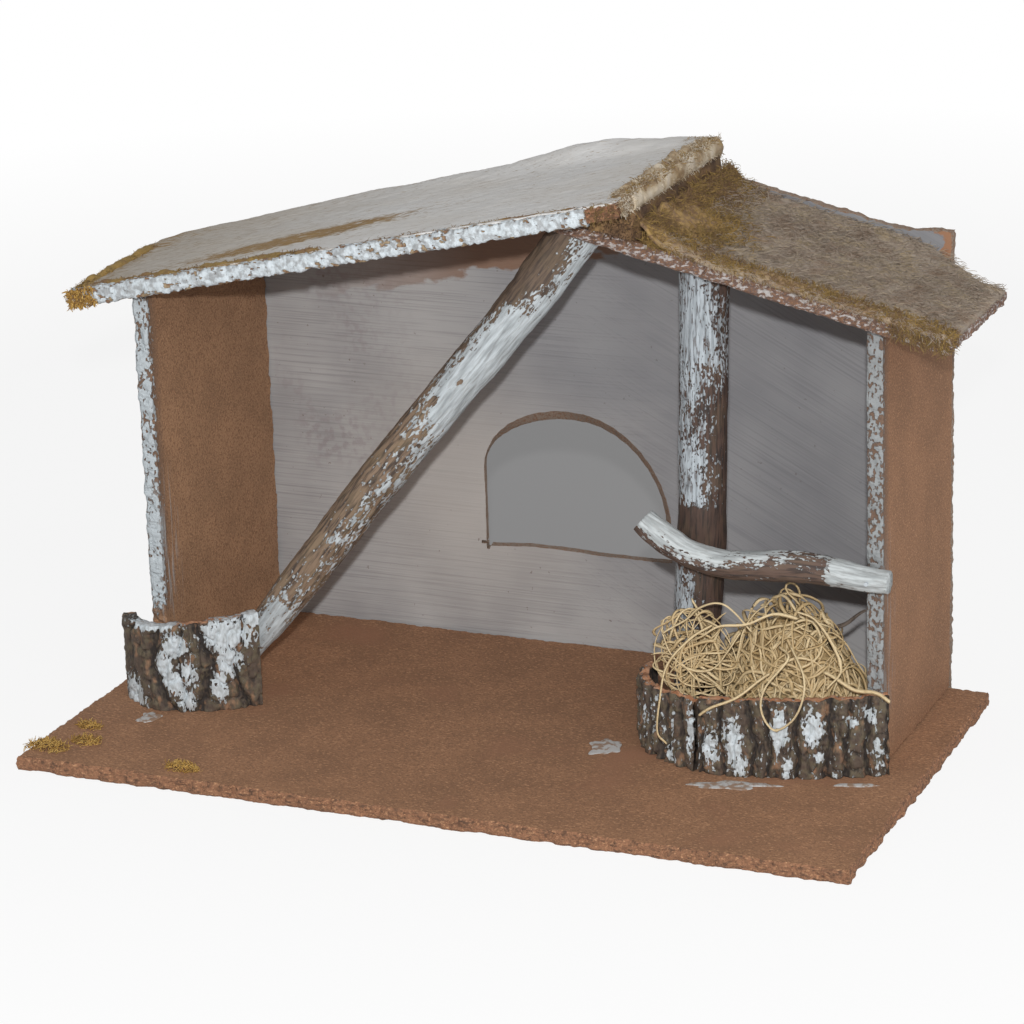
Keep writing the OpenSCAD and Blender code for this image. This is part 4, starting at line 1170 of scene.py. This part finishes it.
def fibres(name, material, roots, facing, length, lift, thick, tint=(0, 1), comb=None, droop=0.0,
           nodes=(), cap=2.2, curl=0.55):
    """Short curly fibres, lifted off the surface they stand on, which faces one way or has a
    direction for each, and held down to about cap above it"""
    normals = np.broadcast_to(unit(facing), roots.shape)
    total = len(roots)
    lie = chance.normal(size=(total, 3))
    if comb is not None:
        lie = lie * 0.45 + np.asarray(comb)
    lie = unit(lie - normals * np.sum(lie * normals, axis=1, keepdims=True))
    way = unit(lie + normals * chance.uniform(0.1, 1.6, (total, 1)) * lift)
    axis = unit(chance.normal(size=(total, 3)) + normals)
    count, sunk = 7, 0.3
    step = (chance.uniform(0.5, 1.3, total) * length / (count - 1))[:, None]
    spot = roots - normals * sunk
    path = [spot]
    for _ in range(count - 1):
        rise = np.sum((spot - roots) * normals, axis=1, keepdims=True)
        way = unit(way + np.cross(axis, way) * curl * step * chance.uniform(0.2, 1.6, (total, 1))
                   - normals * np.clip(rise / cap - 0.4, 0, 1) * 0.7 - [0, 0, droop])
        spot = spot + way * step
        path.append(spot)
    tubes(name, "moss", nodes, np.stack(path, axis=1), thick * chance.uniform(0.6, 1.3, (total, 1)),
          material, sides=3, tint=chance.uniform(*tint, total))


def right_back_edge(u):
    """Rear edge of the right board's top"""
    return np.interp(u, *np.array(right_outline[5:1:-1]).T) - 1.5


tuft_u, tuft_v = 44, 24
tuft_rise, wedge_rise = 3.0, 9.0
mat_start = 31.2


def tuft_share(places):
    """How far places on the right slope lie in the tuft near the ridge"""
    u, v = (places - [tuft_u, tuft_v]).T / [[13], [17]]
    return np.exp(-(u ** 2 + v ** 2) ** 1.6)


def wedge_share(places):
    """How far places on the right slope are drawn up into the wedge at the ridge"""
    return np.exp(-((places[:, 0] - mat_start) / 9) ** 1.3)


def scatter(total, *spreads):
    """Random places: each coordinate is drawn between two numbers, or is one number for all"""
    return np.column_stack([np.full(total, spread) if np.isscalar(spread)
                            else chance.uniform(*spread, total) for spread in spreads])


flat, across_count = field_grid(mat_start, right_eave - 1, right_front - 0.5, right_back_edge)
u, v = flat.T
spot = np.c_[flat, 0 * u]
combed = np.c_[0.4 * (u - v), u + v, 0 * u]
mat_height = 1.0 + 0.7 * lumps(spot, 11, 71) + 0.5 * lumps(combed, 3, 72)
mat_height += 0.35 * lumps(spot, 1.6, 73)
front_swell = np.exp(-((v - right_front - 4) / 5) ** 2)
tuft_swell = tuft_share(flat)
mat_height = np.maximum(mat_height + 1.6 * front_swell + tuft_rise * tuft_swell, 0.3)
up_the_wedge = wedge_share(flat)
mat_height += wedge_rise * up_the_wedge * (0.85 + 0.3 * lumps(spot, 6, 75))
golden_share = np.clip(1.5 * up_the_wedge + 1.2 * tuft_swell + 0.8 * front_swell, 0, 1)
sheet_over("right_roof_moss_mat", "moss", ["right_roof_moss"], on_right(np.c_[flat, mat_height]),
           across_count, dull_moss, (0, 0, -2.0),
           tint=np.clip(0.35 + 0.3 * lumps(spot, 5, 74), 0, 1), gold=golden_share)

right_normal = np.array([math.sin(math.atan(right_slope)), 0, math.cos(math.atan(right_slope))])
left_normal = np.array([-math.sin(math.atan(left_slope)), 0, math.cos(math.atan(left_slope))])

places = scatter(17000, (mat_start + 0.5, right_eave - 5), (right_front, 96))
places = places[places[:, 1] < right_back_edge(places[:, 0])]
in_tuft, in_wedge = tuft_share(places), wedge_share(places)
dull = chance.uniform(0, 1, len(places)) > 1.4 * in_tuft + 1.6 * in_wedge
places, height = places[dull], (1.2 + tuft_rise * in_tuft + 8.0 * in_wedge)[dull]
fibres("right_roof_moss_fibres", dull_moss, on_right(np.c_[places, height]), right_normal, length=7,
       lift=0.1, thick=0.11, tint=(0.2, 0.8), comb=(0.7, -0.6, 0), cap=1.0, curl=0.3)
places = scatter(5600, (mat_start + 2, right_eave - 0.9), (right_front - 0.5, right_front + 9), 2.0)
fibres("right_front_moss_fibres", golden_moss, on_right(places), right_normal + [0, -0.4, 0],
       length=3.6, lift=0.4, thick=0.13, tint=(-0.1, 0.9), droop=0.08, cap=1.6)
places = np.c_[chance.normal(tuft_u, 8.5, 3600), chance.normal(tuft_v, 12, 3600)]
places = places[(places[:, 0] > mat_start) & (places[:, 1] > right_front)]
fibres("right_tuft_moss_fibres", golden_moss, on_right(np.insert(places, 2, 3.4, axis=1)),
       right_normal, length=4.5, lift=0.35, thick=0.13, tint=(0.2, 1.1), cap=1.8)
places = scatter(900, (138, right_eave - 0.9), (right_front - 0.8, right_front + 2), (-4, 2))
fibres("right_corner_moss_fibres", golden_moss, on_right(places), (0.1, -1, 0.1), length=4.5,
       lift=0.35, thick=0.14, tint=(-0.2, 0.8), droop=0.25, cap=1.8)

wad_right = node_box("ridge_moss")[1][0]
wad_path = through([(35.5, right_front + 1), (50, right_front), (60, right_front + 1),
                    (wad_right, right_front + 6), (wad_right, 40), (wad_right - 1, 96)], 110)
wad_shares = np.linspace(0, 1, 18)


def wedge(x, y, share):
    """Points of the wedge between the boards, from the left board's underside down"""
    low = meet_z - right_slope * (x - meet_x)
    return np.c_[x, y, low + (under_left(x) - low) * (1 - share)]


grid = np.array([(x, y, share) for x, y in wad_path for share in wad_shares])
wad = wedge(*grid.T)
bumps = 1.5 * lumps(wad, 5, 81) + 0.8 * lumps(wad, 2.2, 82)
inward = np.where(grid[:, :1] < 58, (0, 8, 0), (-9, 3, 0))
wad -= unit(inward) * bumps[:, None]
sheet_over("ridge_moss_wad", "moss", ["ridge_moss"], wad, len(wad_shares), brown_moss, inward,
           tint=np.clip(0.4 + 0.3 * lumps(wad, 4, 83), 0, 1))
places = scatter(5600, (0, 1), (right_front, 94))
places[:, 0] = mat_start + 20 * places[:, 0] ** 1.3
roots = on_right(np.c_[places, 1.0 + wedge_rise * wedge_share(places)])
fibres("ridge_moss_fibres", golden_moss, roots, right_normal + [0.5, -0.2, 0], length=4.5,
       lift=0.35, thick=0.13, tint=(-0.4, 1.0), comb=(0.5, -0.5, 0), cap=1.6)
roots = wedge(*scatter(700, (37, 63), right_front + 1.0, (0, 1)).T)
fibres("ridge_front_moss_fibres", brown_moss, roots, (0.1, -1, 0.1), length=3.5, lift=0.4,
       thick=0.13, tint=(-0.4, 0.7), droop=0.1)


def moss_clumps(name, nodes, material, start, end, width, height, total, tint):
    """Lumpy strip of moss along a line on the left board, with its fibres"""
    start, run, length, side = slab_line(start, end)
    way, side = run / length, -side
    s, w = np.arange(0, length, 0.9), np.linspace(-1, 1, 14)
    a, b = np.repeat(s, len(w)), np.tile(w, len(s))
    line = np.c_[a, 0 * a, 0 * a]
    half = width / 2 * (1 + 0.35 * lumps(line, 6, 94) + 0.25 * lumps(line, 2.5, 95))
    flat = start + way * a[:, None] + side * (b * half)[:, None]
    at = np.c_[flat, 0 * a]
    fade = np.clip(np.minimum(a, length - a) / 4, 0.1, 1)
    tall = 0.8 + 0.6 * lumps(at, 5, 91) + 0.45 * lumps(at, 2.2, 92)
    tall = height * fade * (1 - b ** 2) ** 0.7 * tall
    skin = on_left(np.c_[flat, roof_thick + np.maximum(tall, -0.4)])
    sheet_over(name, "moss", nodes, skin, len(w), material, (0, 0, -1.2),
               tint=np.clip(sum(tint) / 2 + 0.3 * lumps(at, 4, 93), 0, 1))
    a, b = chance.uniform(0, length, total), chance.uniform(-1, 1, total)
    flat = start + way * a[:, None] + side * (b * width / 2)[:, None]
    roots = on_left(np.c_[flat, roof_thick + height * 0.5 * (1 - b ** 2)])
    fibres(name + "_fibres", material, roots, left_normal, length=2.3, lift=0.3, thick=0.12,
           tint=tint, cap=0.8)


moss_clumps("ridge_edge_moss", ["left_roof_moss"], pale_moss, (39.5, left_front + 12), (39.5, 90),
            width=7.5, height=3.0, total=3600, tint=(-0.5, 1.0))
moss_clumps("eave_edge_moss", (), golden_moss, (left_eave + 3, left_front + 3),
            (left_splay + 5, 54), width=7, height=2.4, total=900, tint=(0.2, 1))
moss_clumps("rear_edge_moss", (), pale_moss, (8, left_back - 9), (34, left_back - 10), width=7,
            height=1.6, total=500, tint=(-0.4, 0.4))
moss_clumps("front_edge_moss", (), golden_moss, (left_eave + 5, left_front + 4.8),
            (-88, left_front + 4.4), width=5.5, height=1.7, total=1500, tint=(-0.3, 0.9))
moss_clumps("front_flecks_moss", (), golden_moss, (-70, left_front + 4.2), (26, left_front + 4),
            width=2.2, height=0.7, total=260, tint=(-0.3, 0.7))
lap_profile = np.array([(-3.5, 6.6), (-1.5, 7.1), (0.4, 7.0), (1.6, 6.0), (2.1, 4.6), (2.3, 3.0),
                        (2.1, 1.4), (1.4, 0.0), (0.3, -0.4)])
grid = np.array([(lap_end + out, v, up) for v in np.arange(left_front + 14, 91, 0.9)
                 for out, up in lap_profile])
puff = 0.8 * lumps(grid, 6, 96) + 0.45 * lumps(grid, 2, 97) + 0.3
puff *= np.resize(np.sin(np.linspace(0, math.pi, len(lap_profile))), len(grid))
grid[:, 0] += puff
grid[:, 2] += 0.5 * puff
sheet_over("lap_end_moss", "moss", (), on_left(grid), len(lap_profile), pale_moss, (-1.6, 0, -0.5),
           tint=np.clip(0.4 + 0.5 * lumps(grid, 4, 98), 0, 1),
           gold=np.clip(lumps(grid, 8, 99), 0, 0.8))
roots = on_left(scatter(3400, lap_end + 1.5, (left_front + 1, 92), (0.5, 7)))
fibres("lap_end_moss_fibres", pale_moss, roots, (1, -0.1, 0.2), length=2.3, lift=0.3, thick=0.12,
       tint=(-0.5, 1.0), droop=0.1, cap=1)
roots = on_left(scatter(900, (lap_end - 6, lap_end + 2.4), (left_front + 12, 90), (5, 8)))
fibres("lap_end_golden_fibres", golden_moss, roots, (0.4, -0.1, 1), length=2.6, lift=0.3,
       thick=0.13, tint=(0, 1.2), cap=0.9)
roots = on_left(scatter(800, (left_eave - 0.5, left_eave + 12), left_front - 1.0, (0, 6.5)))
fibres("eave_tip_moss_fibres", bright_moss, roots, (-0.3, -1, 0), length=2.3, lift=0.45, thick=0.24,
       tint=(-0.1, 1.1), droop=0.15, cap=1.6)
roots = on_left(scatter(120, (31, 43), left_front, (0, 6.5)))
fibres("lap_front_moss_fibres", golden_moss, roots, (0.2, -1, 0), length=3, lift=0.4, thick=0.13,
       tint=(-0.4, 0.6), droop=0.25)

tuft_places = [(-172, -84, 1.4), (-160, -74, 1.0), (-108, -87, 1.1), (-167, -58.5, 0.8)]
roots, normals = [], []
for x, y, size in tuft_places:
    total = int(260 * size)
    turn, away = chance.uniform(0, 2 * math.pi, total), np.sqrt(chance.uniform(0, 1, total))
    across, back = away * np.cos(turn), away * np.sin(turn)
    roots.append(np.c_[x + 7.5 * size * across, y + 4 * size * back,
                       base_high[2] + 1.6 * size * (1 - away ** 2)])
    normals.append(np.c_[across, back, np.full(total, 0.8)])
fibres("base_moss_fibres", bright_moss, np.concatenate(roots), np.concatenate(normals), length=3.0,
       lift=0.25, thick=0.18, tint=(-0.1, 1.2), nodes=["base_moss"], cap=1.6)

# The glue and the fixings
# White glue has squeezed out beside the bark and dried in thin smears. The brads and nails are
# bright steel wire, driven below the surface; the rail's were painted over with it.
dried_glue, tree = finish("dried glue", 0.6)
spread = speckle(tree, 2.5, detail=5)
thin = between(spread, 0.46, 0.58)
painted(mixed(thin, (0.5, 0.49, 0.48), (0.3, 0.2, 0.14)), spread, 0.3)
smears = [(47, -11, 19, 22, 10), (110.5, -32, 42, 12, 16), (158, -16.5, 24, 5, 18),
          (-148, -41, 13, 17, 10)]
smear_sides, smear_rings, smear_height = 60, 8, 0.45
turn = np.linspace(0, 2 * math.pi, smear_sides, endpoint=False)
points, faces = [], []
for x, y, long_way, short_way, turned in smears:
    lean = math.radians(turned)
    rim = np.c_[x + 4 * np.cos(turn), y + 4 * np.sin(turn), 0 * turn]
    ragged = 0.72 + 0.3 * lumps(rim, 1.8, 97)
    rings = []
    for ring in range(smear_rings):
        rise = math.pi / 2 * ring / smear_rings
        u = long_way / 2 * math.cos(rise) * ragged * np.cos(turn)
        v = short_way / 2 * math.cos(rise) * ragged * np.sin(turn)
        rings.append(np.c_[x + u * math.cos(lean) - v * math.sin(lean),
                           y + u * math.sin(lean) + v * math.cos(lean),
                           0 * turn + base_high[2] + smear_height * math.sin(rise)])
    middles = [[x, y, base_high[2]], [x, y, base_high[2] + smear_height]]
    smear, smear_faces = closed(np.concatenate(rings), smear_sides, middles)
    faces += [group + sum(map(len, points)) for group in smear_faces]
    points.append(smear)
solid("dried_glue_smears", "glue", ["glue_smears"], np.concatenate(points), faces, [dried_glue])

steel, tree = finish("bright steel wire", 0.38)
tree.nodes["Principled BSDF"].inputs["Metallic"].default_value = 1.0
drawn = speckle(tree, 0.3, stretch=(1, 1, 8), detail=2)
painted(mixed(drawn, (0.5, 0.49, 0.47), (0.36, 0.35, 0.34)), drawn, 0.05)
painted_nail, tree = finish("painted nail", 0.7)
drawn = speckle(tree, 0.6, detail=3)
painted(mixed(drawn, white_paint, (0.4, 0.43, 0.46)), drawn, 0.2)
for node in ("base_brads", "back_brads", "roof_brads", "branch_nails", "rail_nails"):
    for node_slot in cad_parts[node].material_slots:
        node_slot.material = painted_nail if node == "rail_nails" else steel

# The studio
# A floor that shows as plain white, but for a small grey patch of painted shade behind the
# window, a small flash over the lens with soft light round it, and the camera a little above the
# stable, to its right.
floor_size = 12.0
room_light = 0.34


def seen_directly(tree):
    """1 for rays that look at a surface, straight or by way of a mirror or a glass, otherwise 0"""
    rays = tree.nodes.new("ShaderNodeLightPath").outputs
    seen = Value(tree, rays["Is Camera Ray"]).math("MAXIMUM", Value(tree, rays["Is Glossy Ray"]))
    return seen.math("MAXIMUM", Value(tree, rays["Is Transmission Ray"]))


def out_at(azimuth, elevation):
    """Direction from the stable at angles round from its front and up"""
    return Vector((math.sin(azimuth) * math.cos(elevation),
                   -math.cos(azimuth) * math.cos(elevation), math.sin(elevation)))


floor_corners = [(-1, -1), (1, -1), (1, 1), (-1, 1)]
floor_mesh = bpy.data.meshes.new("floor")
floor_mesh.from_pydata([(x * floor_size, y * floor_size, 0) for x, y in floor_corners], [],
                       [(0, 1, 2, 3)])
floor = bpy.data.objects.new("floor", floor_mesh)
bpy.context.scene.collection.objects.link(floor)
floor_paint, tree = finish("floor paint", 0.9)
place = feed(tree, "ShaderNodeTexCoord", {}, "Object")
from_wall = measured(place, "DISTANCE", (-0.095, 0.32, 0))
sideways = measured(place, "DOT_PRODUCT", (1.6, 0.69, 0)) - 0.06
lengthways = measured(place, "DOT_PRODUCT", (0, 1, 0)) - 0.33
from_shade_patch = (sideways * sideways + lengthways * lengthways).math("SQRT")
# Painted shade: in a patch behind the window the floor turns dark grey and glows less
near_white = between(from_shade_patch, 0.13, 0.175)
far_white = between(from_wall, 0.4, 0.9) * 0.15
seen = seen_directly(tree)
shader = tree.nodes["Principled BSDF"]
shade = mixed(near_white, (0.2, 0.197, 0.2), (0.8, 0.8, 0.8))
tree.links.new(shade.socket, shader.inputs["Base Color"])
shader.inputs["Specular IOR Level"].default_value = 0.1
glow = feed(tree, "ShaderNodeEmission", {"Color": (1, 1, 1, 1), "Strength": 1.0})
share = (near_white * 0.7 + (far_white + 0.15)) * seen
blend = feed(tree, "ShaderNodeMixShader", {0: share, 1: Value(tree, shader.outputs[0]), 2: glow})
tree.links.new(blend.socket, tree.nodes["Material Output"].inputs["Surface"])
floor_mesh.materials.append(floor_paint)

scene = bpy.context.scene
scene.view_settings.view_transform = "Standard"
world = bpy.data.worlds.new("soft room")
scene.world = world
world.use_nodes = True
tree = world.node_tree
room = tree.nodes["Background"]
room.inputs["Color"].default_value = (1, 1, 1, 1)
tree.links.new(seen_directly(tree).math("MAXIMUM", room_light).socket, room.inputs["Strength"])


def lamp(name, azimuth, elevation, distance, size, power):
    """Square soft lamp that faces the stable, placed by angles in degrees from its front"""
    away = out_at(math.radians(azimuth), math.radians(elevation))
    light = bpy.data.lights.new(name, "AREA")
    light.shape = "SQUARE"
    light.size = size
    light.energy = power
    piece = bpy.data.objects.new(name, light)
    piece.location = Vector((0, 0, 0.1)) + away * distance
    piece.rotation_euler = away.to_track_quat("Z", "Y").to_euler()
    scene.collection.objects.link(piece)


lamp("flash", azimuth=23.4, elevation=21.6, distance=1.62, size=0.03, power=17)
lamp("room lamp", azimuth=52, elevation=36, distance=2.2, size=1.2, power=8)

camera_place = Vector((0.5733, -1.3170, 0.5809))
camera_azimuth, camera_elevation, camera_roll = (math.radians(a) for a in (23.36, 18.54, -1.89))
camera_lens = 130.1
backward = out_at(camera_azimuth, camera_elevation)
rightward = (-backward).cross(Vector((0, 0, 1))).normalized()
upward = rightward.cross(-backward)
right_rolled = math.cos(camera_roll) * rightward + math.sin(camera_roll) * upward
up_rolled = -math.sin(camera_roll) * rightward + math.cos(camera_roll) * upward
turn = Matrix((right_rolled, up_rolled, backward)).transposed().to_4x4()
lens = bpy.data.cameras.new("camera")
lens.lens = camera_lens
lens.sensor_width = 36
camera = bpy.data.objects.new("camera", lens)
camera.matrix_world = Matrix.Translation(camera_place) @ turn
scene.collection.objects.link(camera)
scene.camera = camera
